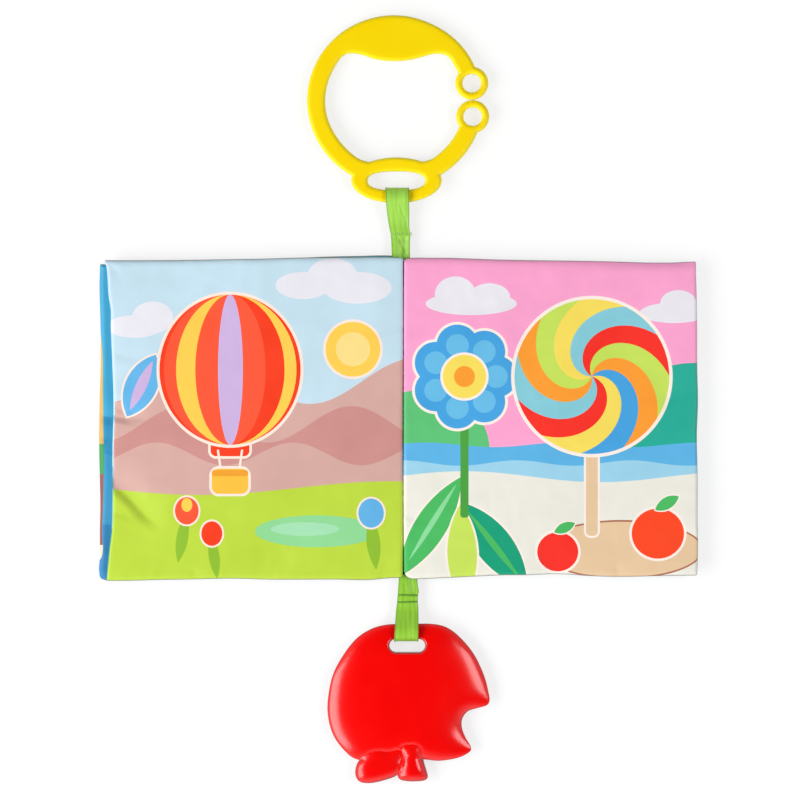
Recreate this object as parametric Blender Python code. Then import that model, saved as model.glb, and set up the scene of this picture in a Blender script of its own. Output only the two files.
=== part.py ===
# Crinkle cloth book, open at its centre spread and lying on a table, with a clip ring and a teether.
# Frame: +X to the right-hand page, +Y along the spine towards the clip ring, +Z up off the table.
# Origin: the middle of the spine, on the table. Metres.

import math

import bmesh
import bpy
from mathutils import Vector

for old_object in list(bpy.data.objects):
    bpy.data.objects.remove(old_object)

# Gaps between pieces, and how far a cutter runs past what it cuts
touch_gap = 0.0003
cut_overrun = 0.002

# Leaves: each is two cloths sewn round the rim over a wadding and a crinkle film
leaf_width = 0.1278
left_cover_width = 0.1322
spine_length = 0.1408
outer_edge_taper = 0.0014
edge_draw_in = 0.0008
leaf_thickness = 0.0036
cloth_thickness = 0.00045
rim_roll = 0.0045
swell_dip = 0.0003
wadding_inset = 0.0060
wadding_thickness = 0.0007
wadding_lift = 0.0004
film_inset = 0.0052
film_thickness = 0.00015
film_crinkle = 0.00012
film_drop = 0.00045

# Spine: the sewn bundle of the leaves' inner edges, its outer cloth and its stitching
gutter_half = 0.0016
spine_cloth_thickness = 0.0005
hinge_lift = 0.0002
thread_width = 0.0007
thread_height = 0.00035
stitch_pitch = 0.0050
stitch_dip = 0.00015

# Tapes: satin tape sewn to the spine's ends, doubled back round each toy's strap bar
tape_width = 0.0100
tape_ply = 0.0006
fold_taper = 0.0016
fold_tip_half = 0.0001
bar_clearance = 0.00035
tape_floor_gap = 0.00005
upper_tape_x = -0.0018
upper_fold_reach = 0.0098
upper_loop_reach = 0.0167
upper_split = 0.0038
lower_tape_x = 0.0019
lower_fold_reach = 0.0055
lower_loop_reach = 0.0183
lower_split = 0.0062
tack_height = 0.00035
cross_stitch_length = 0.0018
cross_stitch_width = 0.0088
cross_stitch_thread = 0.0006
cross_stitch_place = 0.0027
bar_tack_length = 0.0007
bar_tack_width = 0.0094
bar_tack_places = (0.0021, 0.0052)
bar_tack_ridge = 0.0001

# Clip ring: one flat moulding, open between its two eyelets
ring_x = -0.0029
ring_radius = 0.0379
ring_band = 0.0070
ring_thickness = 0.0045
ring_edge = 0.0016
grip_depth = 0.0195
grip_half_width = 0.0210
grip_corner = 0.0040
eyelet_radius = 0.0071
eyelet_hole = 0.0041
eyelet_gap = 0.0006
eyelet_outset = 0.0007
boss_half_width = 0.0201
boss_half_height = 0.0101
boss_inset = 0.0029
slot_half_width = 0.0124
slot_half_height = 0.0041
slot_roof = 0.0052
slot_roof_half_width = 0.0119
ring_bar_reach = 0.0034

# Teether: one domed moulding in the outline of an apple with a bite, a leaf and a stem
teether_width = 0.0714
teether_base = 0.0044
teether_rise = 0.0040
teether_edge = 0.0008
teether_roll = 0.0065
teether_centre_drop = 0.0191
teether_slot_length = 0.0156
teether_slot_width = 0.0056
teether_bar = 0.0066
teether_bar_reach = 0.00345
teether_flare_top = 0.0033
bar_waist_share = 0.25
bar_waist_length = 0.0120
bar_waist_width = 0.0060
leaf_base = 0.0042
leaf_rise = 0.0039
leaf_roll = 0.0030
stem_base = 0.0043
stem_rise = 0.0047
stem_roll = 0.0026
lobe_edge = 0.0010

# Where the grid lines of a cloth lie across its rolled rim, and the sizes of its grids
roll_line_shares = (0.0, 0.2, 0.55, 1.0)
cloth_cells = 6
wadding_cells = 4
film_cells = 8

# Outlines of the teether, as shares of its width from the middle of its strap bar
apple_outline_shares = (
    (-0.009, 0.046), (0.145, 0.047), (0.244, 0.025), (0.330, -0.040), (0.414, -0.145),
    (0.475, -0.274), (0.503, -0.385), (0.507, -0.428), (0.488, -0.457), (0.429, -0.473),
    (0.373, -0.493), (0.339, -0.539), (0.337, -0.595), (0.361, -0.657), (0.389, -0.706),
    (0.386, -0.740), (0.318, -0.777), (0.201, -0.797), (0.102, -0.789), (-0.015, -0.780),
    (-0.169, -0.795), (-0.311, -0.788), (-0.391, -0.731), (-0.456, -0.638), (-0.488, -0.533),
    (-0.490, -0.422), (-0.459, -0.268), (-0.391, -0.139), (-0.311, -0.040), (-0.218, 0.018),
    (-0.120, 0.043),
)
leaf_outline_shares = (
    (-0.308, -0.811), (-0.255, -0.758), (-0.187, -0.734), (-0.113, -0.740), (-0.046, -0.727),
    (-0.009, -0.774), (-0.021, -0.842), (-0.070, -0.891), (-0.157, -0.922), (-0.237, -0.935),
    (-0.295, -0.925), (-0.321, -0.879),
)
stem_outline_shares = (
    (-0.021, -0.703), (0.022, -0.691), (0.065, -0.703), (0.086, -0.749), (0.102, -0.805),
    (0.118, -0.860), (0.105, -0.894), (0.059, -0.903), (0.004, -0.902), (-0.046, -0.899),
    (-0.065, -0.879), (-0.053, -0.829), (-0.033, -0.761),
)

# Levels of the stack, from the table up
leaf_pitch = leaf_thickness + touch_gap
stack_height = leaf_pitch + leaf_thickness
hinge_height = stack_height + hinge_lift
spine_half = spine_length / 2
tape_level = stack_height / 2
fold_taper_start = touch_gap / 2

# Loops of tape: the inner one clears the bar as it turns, and the outer one just clears the table
ring_loop_inner = ring_bar_reach + bar_clearance
ring_loop_outer = ring_loop_inner + tape_ply
ring_bar_height = ring_loop_outer + tape_floor_gap
boss_drop = ring_radius - boss_inset
ring_bar_drop = boss_drop + (slot_half_height + boss_half_height) / 2
teether_loop_inner = teether_bar_reach + bar_clearance
teether_loop_outer = teether_loop_inner + tape_ply
teether_bar_height = max(teether_base, teether_loop_outer + tape_floor_gap)
ring_tilt = math.asin((ring_bar_height - ring_thickness / 2) / (ring_bar_drop + ring_radius))


# One Principled material, its colour given as an sRGB hex value.
def material(name, colour, roughness, metallic=0.0):
    made = bpy.data.materials.new(name)
    made.use_nodes = True
    shader = made.node_tree.nodes["Principled BSDF"]
    channels = [int(colour[i : i + 2], 16) / 255 for i in (1, 3, 5)]
    linear = [c / 12.92 if c <= 0.04045 else ((c + 0.055) / 1.055) ** 2.4 for c in channels]
    shader.inputs["Base Color"].default_value = (*linear, 1)
    shader.inputs["Roughness"].default_value = roughness
    shader.inputs["Metallic"].default_value = metallic
    return made


sky_cloth = material("pale blue printed polyester", "#C5E0EE", 0.55)
pink_cloth = material("pink printed polyester", "#FDA4D0", 0.55)
lining_cloth = material("blue printed polyester", "#45A5DC", 0.55)
cover_cloth = material("yellow printed polyester", "#F2C84A", 0.55)
wadding_white = material("polyester wadding", "#F4F2EC", 0.95)
crinkle_clear = material("crinkle film", "#E6EDF2", 0.20)
green_satin = material("green satin tape", "#8CCB3C", 0.40)
green_thread = material("green sewing thread", "#5FA020", 0.65)
white_thread = material("white sewing thread", "#EDEBDF", 0.65)
yellow_plastic = material("yellow moulded plastic", "#FFDE00", 0.35)
red_plastic = material("red moulded soft plastic", "#F8100A", 0.20)


# An empty that a moving body hangs from, on its joint's axis. Its place is given in the world.
def hinge_point(name, place, parent=None, tilt=0.0):
    empty = bpy.data.objects.new(name, None)
    bpy.context.scene.collection.objects.link(empty)
    if parent:
        empty.parent = parent
        empty.location = Vector(place) - parent.matrix_world.translation
    else:
        empty.location = place
    empty.rotation_euler.x = tilt
    bpy.context.view_layer.update()
    return empty


# Turns a bmesh into a named object with its faces pointing out.
def finish_object(name, bm, finish, parent=None, sharp_angle=math.radians(40)):
    bmesh.ops.recalc_face_normals(bm, faces=bm.faces)
    mesh = bpy.data.meshes.new(name)
    bm.to_mesh(mesh)
    bm.free()
    mesh.shade_smooth()
    mesh.set_sharp_from_angle(angle=sharp_angle)
    mesh.materials.append(finish)
    made = bpy.data.objects.new(name, mesh)
    bpy.context.scene.collection.objects.link(made)
    made.parent = parent
    return made


# A closed body between a lower and an upper surface over one grid of (x, y, low, high) points.
def sheet_solid(name, grid, finish, parent=None):
    bm = bmesh.new()
    low = [[bm.verts.new((x, y, z)) for x, y, z, _ in row] for row in grid]
    high = [[bm.verts.new((x, y, z)) for x, y, _, z in row] for row in grid]
    rows = len(grid)
    columns = len(grid[0])
    for i in range(rows - 1):
        for j in range(columns - 1):
            for skin in (low, high):
                bm.faces.new((skin[i][j], skin[i + 1][j], skin[i + 1][j + 1], skin[i][j + 1]))
    rim = [(i, 0) for i in range(rows)]
    rim += [(rows - 1, j) for j in range(1, columns)]
    rim += [(i, columns - 1) for i in range(rows - 2, -1, -1)]
    rim += [(0, j) for j in range(columns - 2, 0, -1)]
    for (i, j), (k, m) in zip(rim, rim[1:] + rim[:1]):
        bm.faces.new((low[i][j], low[k][m], high[k][m], high[i][j]))
    return finish_object(name, bm, finish, parent)


# Fills flat loops of vertices, outer loop and holes, with triangles.
def fill_loops(bm, loops):
    edges = []
    for loop in loops:
        for a, b in zip(loop, loop[1:] + loop[:1]):
            edges.append(bm.edges.get((a, b)) or bm.edges.new((a, b)))
    bmesh.ops.triangle_fill(bm, edges=edges, use_beauty=True)


# A straight extrusion along X of an outline drawn in Y and Z, with holes through it.
def strip_solid(name, outline, holes, width, centre_x, finish, parent):
    bm = bmesh.new()
    ends = []
    for x in (centre_x - width / 2, centre_x + width / 2):
        ends.append([[bm.verts.new((x, y, z)) for y, z in loop] for loop in [outline, *holes]])
    for near, far in zip(*ends):
        for k in range(len(near)):
            m = (k + 1) % len(near)
            bm.faces.new((near[k], near[m], far[m], far[k]))
    for loops in ends:
        fill_loops(bm, loops)
    return finish_object(name, bm, finish, parent)


# Points of an elliptical arc, from one angle up to but not including the other.
def arc(x, y, half_width, half_height, start, stop, steps):
    angles = [start + (stop - start) * k / steps for k in range(steps)]
    return [(x + half_width * math.cos(a), y + half_height * math.sin(a)) for a in angles]


# A closed loop moved to its left by a distance, which is inwards for a counter-clockwise one.
def inset_loop(loop, distance):
    moved = []
    for k, here in enumerate(loop):
        before = Vector(loop[k - 1])
        after = Vector(loop[(k + 1) % len(loop)])
        here = Vector(here)
        run_in = (here - before).normalized()
        run_out = (after - here).normalized()
        left = Vector((-run_in.y - run_out.y, run_in.x + run_out.x)).normalized()
        stretch = max(left.dot(Vector((-run_in.y, run_in.x))), 0.6)
        moved.append(tuple(here + left * distance / stretch))
    return moved


# A flat plate about z = 0 with its outline and its holes rounded over at both faces.
def rounded_plate(name, outline, holes, thickness, edge, finish, parent, steps=3):
    bm = bmesh.new()
    half = thickness / 2
    loops = [outline] + [hole[::-1] for hole in holes]
    turns = [math.pi / 2 * k / steps for k in range(steps + 1)]
    levels = [(edge * (1 - math.cos(a)), half - edge + edge * math.sin(a)) for a in reversed(turns)]
    levels += [(inset, -z) for inset, z in reversed(levels)]
    faces_of_plate = []
    for loop in loops:
        rings = []
        for inset, z in levels:
            rings.append([bm.verts.new((x, y, z)) for x, y in inset_loop(loop, inset)])
        for upper, lower in zip(rings, rings[1:]):
            for k in range(len(upper)):
                m = (k + 1) % len(upper)
                bm.faces.new((upper[k], lower[k], lower[m], upper[m]))
        faces_of_plate.append((rings[0], rings[-1]))
    for side in range(2):
        fill_loops(bm, [pair[side] for pair in faces_of_plate])
    return finish_object(name, bm, finish, parent)


# Grid lines across a cloth: close together over each rolled rim, even between them.
def rim_lines(length, inset, cells, shares=(0.0,)):
    near = [inset + share * rim_roll for share in shares]
    start = near[-1]
    middle = [start + (length - 2 * start) * k / cells for k in range(1, cells)]
    return near + middle + [length - line for line in reversed(near)]


# Where a point of a leaf lies: u from the gutter edge, v up the spine. Corners are rounded, the
# outer edge is a little shorter than the spine, and the free edges are drawn in between corners.
def leaf_place(u, v, width, side):
    edge_u = min(u, width - u)
    edge_v = min(v, spine_length - v)
    if edge_u < rim_roll and edge_v < rim_roll:
        a = rim_roll - edge_u
        b = rim_roll - edge_v
        pull = max(a, b) / math.hypot(a, b)
        new_u = rim_roll - a * pull
        new_v = rim_roll - b * pull
        u = new_u if u < width / 2 else width - new_u
        v = new_v if v < spine_half else spine_length - new_v
    out = u / width
    up = v / spine_half - 1
    taper = 1 - outer_edge_taper / spine_length * out
    y = up * (spine_half * taper - edge_draw_in * math.sin(math.pi * out))
    x = gutter_half + u - edge_draw_in * out * math.cos(math.pi / 2 * up)
    return side * x, y


# How far a cloth has risen from the sewn rim at a point: 0 on the rim, 1 past the rolled edge.
def rim_rise(u, v, width):
    edge = min(u, width - u, v, spine_length - v, rim_roll)
    return math.sqrt(max(0.0, 1 - (1 - edge / rim_roll) ** 2))


# Shallow hollows in a padded cloth, from 0 to 1, different for each face.
def hollow(u, v, width, phase):
    s = u / width
    t = v / spine_length
    across = math.sin(2 * math.pi * (1.3 * s + 0.4 * t) + phase)
    along = math.sin(2 * math.pi * (0.5 * s - 1.2 * t) + 2 * phase)
    return 0.5 + 0.25 * across + 0.25 * along


# One cloth of a leaf: a shallow tray, open towards the other cloth, that meets it at the rim.
def leaf_cloth(name, width, side, middle, facing, dip, phase, finish, parent):
    rim = touch_gap / 2 + cloth_thickness
    grid = []
    for u in rim_lines(width, 0.0, cloth_cells, roll_line_shares):
        row = []
        for v in rim_lines(spine_length, 0.0, cloth_cells, roll_line_shares):
            x, y = leaf_place(u, v, width, side)
            full = leaf_thickness / 2 - dip * hollow(u, v, width, phase)
            outer = middle + facing * (rim + (full - rim) * rim_rise(u, v, width))
            inner = outer - facing * cloth_thickness
            row.append((x, y, min(outer, inner), max(outer, inner)))
        grid.append(row)
    return sheet_solid(name, grid, finish, parent)


# The thin wadding that fills a leaf above its film.
def leaf_wadding(name, width, side, middle, parent):
    low = middle + wadding_lift - wadding_thickness / 2
    grid = []
    for u in rim_lines(width, wadding_inset, wadding_cells):
        row = []
        for v in rim_lines(spine_length, wadding_inset, wadding_cells):
            row.append((*leaf_place(u, v, width, side), low, low + wadding_thickness))
        grid.append(row)
    return sheet_solid(name, grid, wadding_white, parent)


# The crinkle film: a thin sheet in creased facets, which rustles under the wadding.
def leaf_film(name, width, side, middle, parent):
    grid = []
    for i, u in enumerate(rim_lines(width, film_inset, film_cells)):
        row = []
        for j, v in enumerate(rim_lines(spine_length, film_inset, film_cells)):
            crease = ((7 * i + 5 * j) % 3 - 1) * film_crinkle
            low = middle - film_drop + crease - film_thickness / 2
            row.append((*leaf_place(u, v, width, side), low, low + film_thickness))
        grid.append(row)
    return sheet_solid(name, grid, crinkle_clear, parent)


# A whole leaf on its hinge point: lower cloth, upper cloth, wadding and film.
def leaf(name, side, width, level, flat_below, phase, finishes, parent):
    middle = level + leaf_thickness / 2 - hinge_height
    below = 0.0 if flat_below else swell_dip
    leaf_cloth(name + "_lower_cloth", width, side, middle, -1, below, phase, finishes[0], parent)
    leaf_cloth(name + "_upper_cloth", width, side, middle, 1, swell_dip, phase + 1, finishes[1], parent)
    leaf_wadding(name + "_wadding", width, side, middle, parent)
    leaf_film(name + "_crinkle_film", width, side, middle, parent)


def leaves():
    for word, side, cover_width, page_cloth in (
        ("left", -1, left_cover_width, sky_cloth),
        ("right", 1, leaf_width, pink_cloth),
    ):
        cover_hinge = hinge_point(word + "_cover_hinge", (0, 0, hinge_height))
        page_hinge = hinge_point(word + "_page_hinge", (0, 0, hinge_height), cover_hinge)
        cover_finishes = (cover_cloth, lining_cloth)
        page_finishes = (lining_cloth, page_cloth)
        leaf(word + "_cover", side, cover_width, 0.0, True, side + 2, cover_finishes, cover_hinge)
        leaf(word + "_page", side, leaf_width, leaf_pitch, False, side + 5, page_finishes, page_hinge)


# The spine: its outer cloth on the table, the sewn bundle over it, and the stitching on top.
def spine():
    half = gutter_half - touch_gap
    cloth_grid = []
    for x in (-half, half):
        cloth_grid.append([(x, y, 0.0, spine_cloth_thickness) for y in (-spine_half, spine_half)])
    sheet_solid("spine_outer_cloth", cloth_grid, cover_cloth)

    seam_low = spine_cloth_thickness + touch_gap
    seam_high = hinge_height - hinge_lift - thread_height - stitch_dip - touch_gap
    seam_grid = []
    for x in (-half, half):
        seam_grid.append([(x, y, seam_low, seam_high) for y in (-spine_half, spine_half)])
    sheet_solid("spine_sewn_seam", seam_grid, lining_cloth)

    stitches = round(spine_length / stitch_pitch)
    thread_low = seam_high + touch_gap
    thread_half = spine_half - touch_gap
    thread_grid = []
    for x in (-thread_width / 2, thread_width / 2):
        row = []
        for k in range(2 * stitches + 1):
            y = thread_half * (k / stitches - 1)
            row.append((x, y, thread_low, thread_low + thread_height + stitch_dip * (k % 2)))
        thread_grid.append(row)
    sheet_solid("spine_stitching", thread_grid, white_thread)


# The doubled tape from the spine's end to the crease where it folds, thinned to a wedge there.
def tape_tail(name, centre_x, direction, reach):
    start = direction * (spine_half + touch_gap)
    crease = direction * (spine_half + reach)
    tip = crease - direction * fold_taper_start
    full = crease - direction * fold_taper
    outline = [
        (start, tape_level - tape_ply), (full, tape_level - tape_ply),
        (tip, tape_level - fold_tip_half), (tip, tape_level + fold_tip_half),
        (full, tape_level + tape_ply), (start, tape_level + tape_ply),
    ]
    return strip_solid(name, outline, [], tape_width, centre_x, green_satin, None)


# Where a line from a point touches a circle, and the angle of that spot on the circle.
def tangent_spot(start, centre, radius, side):
    away = Vector(centre) - Vector(start)
    heading = math.atan2(away.y, away.x) + side * math.asin(radius / away.length)
    angle = heading + side * math.pi / 2
    return angle


# The free loop of tape, about its fold crease: doubled first, then parting round the strap bar.
def tape_loop(name, direction, split, reach, rise, inner, outer, parent, steps=14):
    centre = (reach, rise)

    def round_bar(start_high, start_low, radius):
        high = tangent_spot(start_high, centre, radius, 1)
        low = tangent_spot(start_low, centre, radius, -1)
        turn = [high + (low - high) * k / steps for k in range(steps + 1)]
        return [(reach + radius * math.cos(a), rise + radius * math.sin(a)) for a in turn]

    outline = [(fold_taper_start, fold_tip_half), (fold_taper, tape_ply), (split, tape_ply)]
    outline += round_bar((split, tape_ply), (split, -tape_ply), outer)
    outline += [(split, -tape_ply), (fold_taper, -tape_ply), (fold_taper_start, -fold_tip_half)]
    hole_start = (split + tape_ply, 0.0)
    hole = [hole_start] + round_bar(hole_start, hole_start, inner)
    outline = [(direction * s, z) for s, z in outline]
    hole = [(direction * s, z) for s, z in hole]
    return strip_solid(name, outline, [hole], tape_width, 0.0, green_satin, parent)


# The cross stitch on the upper tape: two crossed bars of thread in one flat outline.
def cross_stitch(parent):
    run = Vector((cross_stitch_width, cross_stitch_length)) / 2
    half = cross_stitch_thread / 2
    slant = half * run.length / run.x
    notch_x = half * run.length / run.y
    outline = [
        (run.x, run.y + slant / 2), (0, slant), (-run.x, run.y + slant / 2),
        (-run.x, run.y - slant / 2), (-notch_x, 0), (-run.x, slant / 2 - run.y),
        (-run.x, -run.y - slant / 2), (0, -slant), (run.x, -run.y - slant / 2),
        (run.x, slant / 2 - run.y), (notch_x, 0), (run.x, run.y - slant / 2),
    ]
    tack = rounded_plate(
        "upper_tape_cross_stitch", outline, [], tack_height, tack_height / 4, green_thread, parent, 1
    )
    tack.location = (0, cross_stitch_place, tape_ply + touch_gap + tack_height / 2)


# A bar tack across the lower tape: a short ridge of close stitches.
def bar_tack(name, place, parent):
    stitches = round(bar_tack_width / (2 * cross_stitch_thread))
    low = tape_ply + touch_gap
    grid = []
    for y in (-place - bar_tack_length / 2, -place + bar_tack_length / 2):
        row = []
        for k in range(2 * stitches + 1):
            x = bar_tack_width / 2 * (k / stitches - 1)
            row.append((x, y, low, low + tack_height - bar_tack_ridge * (k % 2)))
        grid.append(row)
    sheet_solid(name, grid, green_thread, parent)


# The clip ring's outline about the ring's centre: counter-clockwise, from the upper eyelet over
# the top, down the closed side, round the strap boss, and back along the inner edge.
def ring_outline():
    inner = ring_radius - ring_band
    eyelet_circle = ring_radius - ring_band / 2 + eyelet_outset
    eyelet_angle = math.asin((eyelet_radius + eyelet_gap / 2) / eyelet_circle)

    def meets_eyelet(radius):
        share = (radius**2 + eyelet_circle**2 - eyelet_radius**2) / (2 * radius * eyelet_circle)
        return eyelet_angle + math.acos(share)

    outer_end = meets_eyelet(ring_radius)
    inner_end = meets_eyelet(inner)
    eyelet_x = eyelet_circle * math.cos(eyelet_angle)
    eyelet_y = eyelet_circle * math.sin(eyelet_angle)

    def eyelet_turn(radius, end, side):
        y = radius * math.sin(end) - eyelet_y
        return side * math.atan2(y, radius * math.cos(end) - eyelet_x)

    # Where the boss's ellipse leaves the ring's outer circle, found by halving
    low = math.radians(-90)
    high = math.radians(60)
    for _ in range(50):
        boss_end = (low + high) / 2
        x = boss_half_width * math.cos(boss_end)
        y = boss_half_height * math.sin(boss_end) - boss_drop
        if math.hypot(x, y) > ring_radius:
            low = boss_end
        else:
            high = boss_end
    ring_end = math.atan2(y, x)

    points = arc(0, 0, ring_radius, ring_radius, outer_end, math.pi - ring_end, 44)
    points += arc(0, -boss_drop, boss_half_width, boss_half_height, math.pi - boss_end,
                  2 * math.pi + boss_end, 26)
    points += arc(0, 0, ring_radius, ring_radius, ring_end, -outer_end, 9)

    # Lower eyelet, from the outer circle round its tip to the inner circle
    outer_turn = eyelet_turn(ring_radius, outer_end, -1)
    inner_turn = eyelet_turn(inner, inner_end, -1)
    points += arc(eyelet_x, -eyelet_y, eyelet_radius, eyelet_radius, outer_turn,
                  inner_turn + 2 * math.pi, 20)

    # Inner circle to the roof over the slot, which is a shallow arch
    roof_y = slot_half_height + slot_roof - boss_drop
    roof_edge = -math.sqrt(inner**2 - slot_roof_half_width**2)
    roof_rise = roof_y - roof_edge
    roof_radius = (slot_roof_half_width**2 + roof_rise**2) / (2 * roof_rise)
    roof_half = math.asin(slot_roof_half_width / roof_radius)
    roof_angle = math.atan2(roof_edge, slot_roof_half_width)
    points += arc(0, 0, inner, inner, -inner_end, roof_angle, 9)
    points += arc(0, roof_y - roof_radius, roof_radius, roof_radius, math.pi / 2 - roof_half,
                  math.pi / 2 + roof_half, 8)

    # Inner circle up to the grip, whose lower edge bellies down between two rounded corners
    belly_y = ring_radius - grip_depth
    belly_edge = math.sqrt(inner**2 - grip_half_width**2)
    belly_drop = belly_edge - belly_y
    belly_radius = (grip_half_width**2 + belly_drop**2) / (2 * belly_drop)
    belly_half = math.asin(grip_half_width / belly_radius) - grip_corner / belly_radius
    corner_angle = math.atan2(belly_edge, grip_half_width)
    ring_stop = corner_angle - grip_corner / inner
    belly = arc(0, belly_y + belly_radius, belly_radius, belly_radius, -math.pi / 2 - belly_half,
                -math.pi / 2 + belly_half, 10)
    belly.append((-belly[0][0], belly[0][1]))
    points += arc(0, 0, inner, inner, -math.pi - roof_angle, -math.pi - ring_stop, 22)
    start = (-inner * math.cos(ring_stop), inner * math.sin(ring_stop))
    corner = (-grip_half_width, belly_edge)
    left = corner_curve(start, corner, belly[0])
    points += left
    points += belly[:-1]
    points += [(-x, y) for x, y in reversed(left[1:] + [belly[0]])]
    points += arc(0, 0, inner, inner, ring_stop, inner_end, 6)

    # Upper eyelet, from the inner circle round its tip back to the outer circle
    points += arc(eyelet_x, eyelet_y, eyelet_radius, eyelet_radius, -inner_turn,
                  2 * math.pi - outer_turn, 20)
    return points, eyelet_x, eyelet_y


# A corner rounded by a curve from one point to another, bent towards the corner between them.
def corner_curve(start, corner, end, steps=4):
    curve = []
    for k in range(steps):
        t = k / steps
        weights = ((1 - t) ** 2, 2 * t * (1 - t), t**2)
        curve.append(tuple(sum(w * p[i] for w, p in zip(weights, (start, corner, end))) for i in (0, 1)))
    return curve


def clip_ring(parent):
    points, eyelet_x, eyelet_y = ring_outline()
    holes = [arc(0, -boss_drop, slot_half_width, slot_half_height, 0, 2 * math.pi, 28)]
    for side in (1, -1):
        holes.append(arc(eyelet_x, side * eyelet_y, eyelet_hole, eyelet_hole, 0, 2 * math.pi, 18))
    shift = [[(x, y + ring_bar_drop) for x, y in loop] for loop in [points, *holes]]
    return rounded_plate(
        "clip_ring", shift[0], shift[1:], ring_thickness, ring_edge, yellow_plastic, parent
    )


# A smooth closed curve through an outline's points, with one more point between each pair.
def smooth_outline(shares):
    points = [Vector(p) * teether_width for p in shares]
    count = len(points)
    curve = []
    for k in range(count):
        a, b, c, d = (points[(k + i - 1) % count] for i in range(4))
        curve.append(b)
        curve.append((9 * (b + c) - a - d) / 16)
    return curve


# A closed pillow with a rolled rim: rings of its outline drawn towards a centre, fanned shut.
def domed_solid(name, outline, centre, roll, edge, base, rise, finish, parent, waist=None):
    roll_shares = (0.0, 0.07, 0.2, 0.42, 0.7, 1.0, 1.7)
    bm = bmesh.new()

    def ring(share, facing, height):
        swell = math.sqrt(1 - (1 - min(share, 1.0)) ** 2)
        verts = []
        for p in outline:
            inward = centre - p
            place = p + inward * min(share * roll / inward.length, 0.85)
            z = facing * (edge + (height - edge) * swell)
            if waist:
                z *= waist(place)
            verts.append(bm.verts.new((place.x, place.y, z)))
        return verts

    upper = [ring(share, 1, rise) for share in roll_shares]
    lower = [ring(share, -1, base) for share in roll_shares]
    rings = upper[::-1] + lower
    for a, b in zip(rings, rings[1:]):
        for k in range(len(a)):
            m = (k + 1) % len(a)
            bm.faces.new((a[k], b[k], b[m], a[m]))
    for verts, z in ((rings[0], rise), (rings[-1], -base)):
        top = bm.verts.new((centre.x, centre.y, z))
        for k in range(len(verts)):
            bm.faces.new((verts[k], verts[(k + 1) % len(verts)], top))
    return finish_object(name, bm, finish, parent)


# The slot's cutter: a stadium that flares towards both faces, so the bar beside it is round.
def slot_cutter(parent):
    bm = bmesh.new()
    bar_half = teether_bar / 2
    middle_y = -bar_half - teether_slot_width / 2
    straight = (teether_slot_length - teether_slot_width) / 2
    flare = []
    for share in (0.35, 0.65, 0.85, 1.0):
        z = share * teether_flare_top
        flare.append((max(0.0, bar_half - math.sqrt(teether_bar_reach**2 - z**2)), z))
    flare.append((flare[-1][0], teether_base + teether_rise + cut_overrun))
    levels = [(out, -z) for out, z in reversed(flare)] + flare
    rings = []
    for out, z in levels:
        radius = teether_slot_width / 2 + out
        loop = arc(straight, middle_y, radius, radius, -math.pi / 2, math.pi / 2, 8)
        loop.append((straight, middle_y + radius))
        loop += arc(-straight, middle_y, radius, radius, math.pi / 2, 3 * math.pi / 2, 8)
        loop.append((-straight, middle_y - radius))
        rings.append([bm.verts.new((x, y, z)) for x, y in loop])
    for a, b in zip(rings, rings[1:]):
        for k in range(len(a)):
            m = (k + 1) % len(a)
            bm.faces.new((a[k], a[m], b[m], b[k]))
    bm.faces.new(rings[0])
    bm.faces.new(rings[-1])
    return guide(finish_object("slot_cutter", bm, red_plastic, parent))


# Marks an object as a shape that only cuts or joins another.
def guide(shape):
    shape.hide_render = True
    shape.display_type = "WIRE"
    return shape


def apple_teether(parent):
    centre = Vector((0.0, -teether_centre_drop))

    def waist(place):
        across = (place.x / bar_waist_length) ** 2
        along = (place.y / bar_waist_width) ** 2
        return 1 - bar_waist_share * math.exp(-across - along)

    def middle_of(outline):
        return sum(outline, Vector((0.0, 0.0))) / len(outline)

    apple = domed_solid("apple_teether", smooth_outline(apple_outline_shares), centre, teether_roll,
                        teether_edge, teether_base, teether_rise, red_plastic, parent, waist)
    leaf_outline = smooth_outline(leaf_outline_shares)
    stem_outline = smooth_outline(stem_outline_shares)
    leaf_lobe = domed_solid("leaf_shape", leaf_outline, middle_of(leaf_outline), leaf_roll,
                            lobe_edge, leaf_base, leaf_rise, red_plastic, parent)
    stem_lobe = domed_solid("stem_shape", stem_outline, middle_of(stem_outline), stem_roll,
                            lobe_edge, stem_base, stem_rise, red_plastic, parent)
    steps = ((leaf_lobe, "UNION"), (stem_lobe, "UNION"), (slot_cutter(parent), "DIFFERENCE"))
    for shape, operation in steps:
        cut = apple.modifiers.new(shape.name, "BOOLEAN")
        cut.object = guide(shape)
        cut.operation = operation
        cut.solver = "EXACT"
    return apple


def upper_strap():
    fold = (upper_tape_x, spine_half + upper_fold_reach, tape_level)
    tape_tail("upper_tape_tail", upper_tape_x, 1, upper_fold_reach)
    fold_point = hinge_point("upper_tape_fold", fold)
    tape_loop("upper_tape_loop", 1, upper_split, upper_loop_reach, ring_bar_height - tape_level,
              ring_loop_inner, ring_loop_outer, fold_point)
    cross_stitch(fold_point)
    bar = (ring_x, fold[1] + upper_loop_reach, ring_bar_height)
    clip_ring(hinge_point("ring_bar_axis", bar, fold_point, -ring_tilt))


def lower_strap():
    fold = (lower_tape_x, -spine_half - lower_fold_reach, tape_level)
    tape_tail("lower_tape_tail", lower_tape_x, -1, lower_fold_reach)
    fold_point = hinge_point("lower_tape_fold", fold)
    tape_loop("lower_tape_loop", -1, lower_split, lower_loop_reach, teether_bar_height - tape_level,
              teether_loop_inner, teether_loop_outer, fold_point)
    for k, place in enumerate(bar_tack_places):
        bar_tack("lower_tape_bar_tack_%d" % (k + 1), place, fold_point)
    bar = (lower_tape_x, fold[1] - lower_loop_reach, teether_bar_height)
    apple_teether(hinge_point("teether_bar_axis", bar, fold_point))


spine()
leaves()
upper_strap()
lower_strap()
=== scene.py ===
import math

import bmesh
import bpy
import numpy as np
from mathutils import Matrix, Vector
from mathutils.geometry import delaunay_2d_cdt


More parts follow.
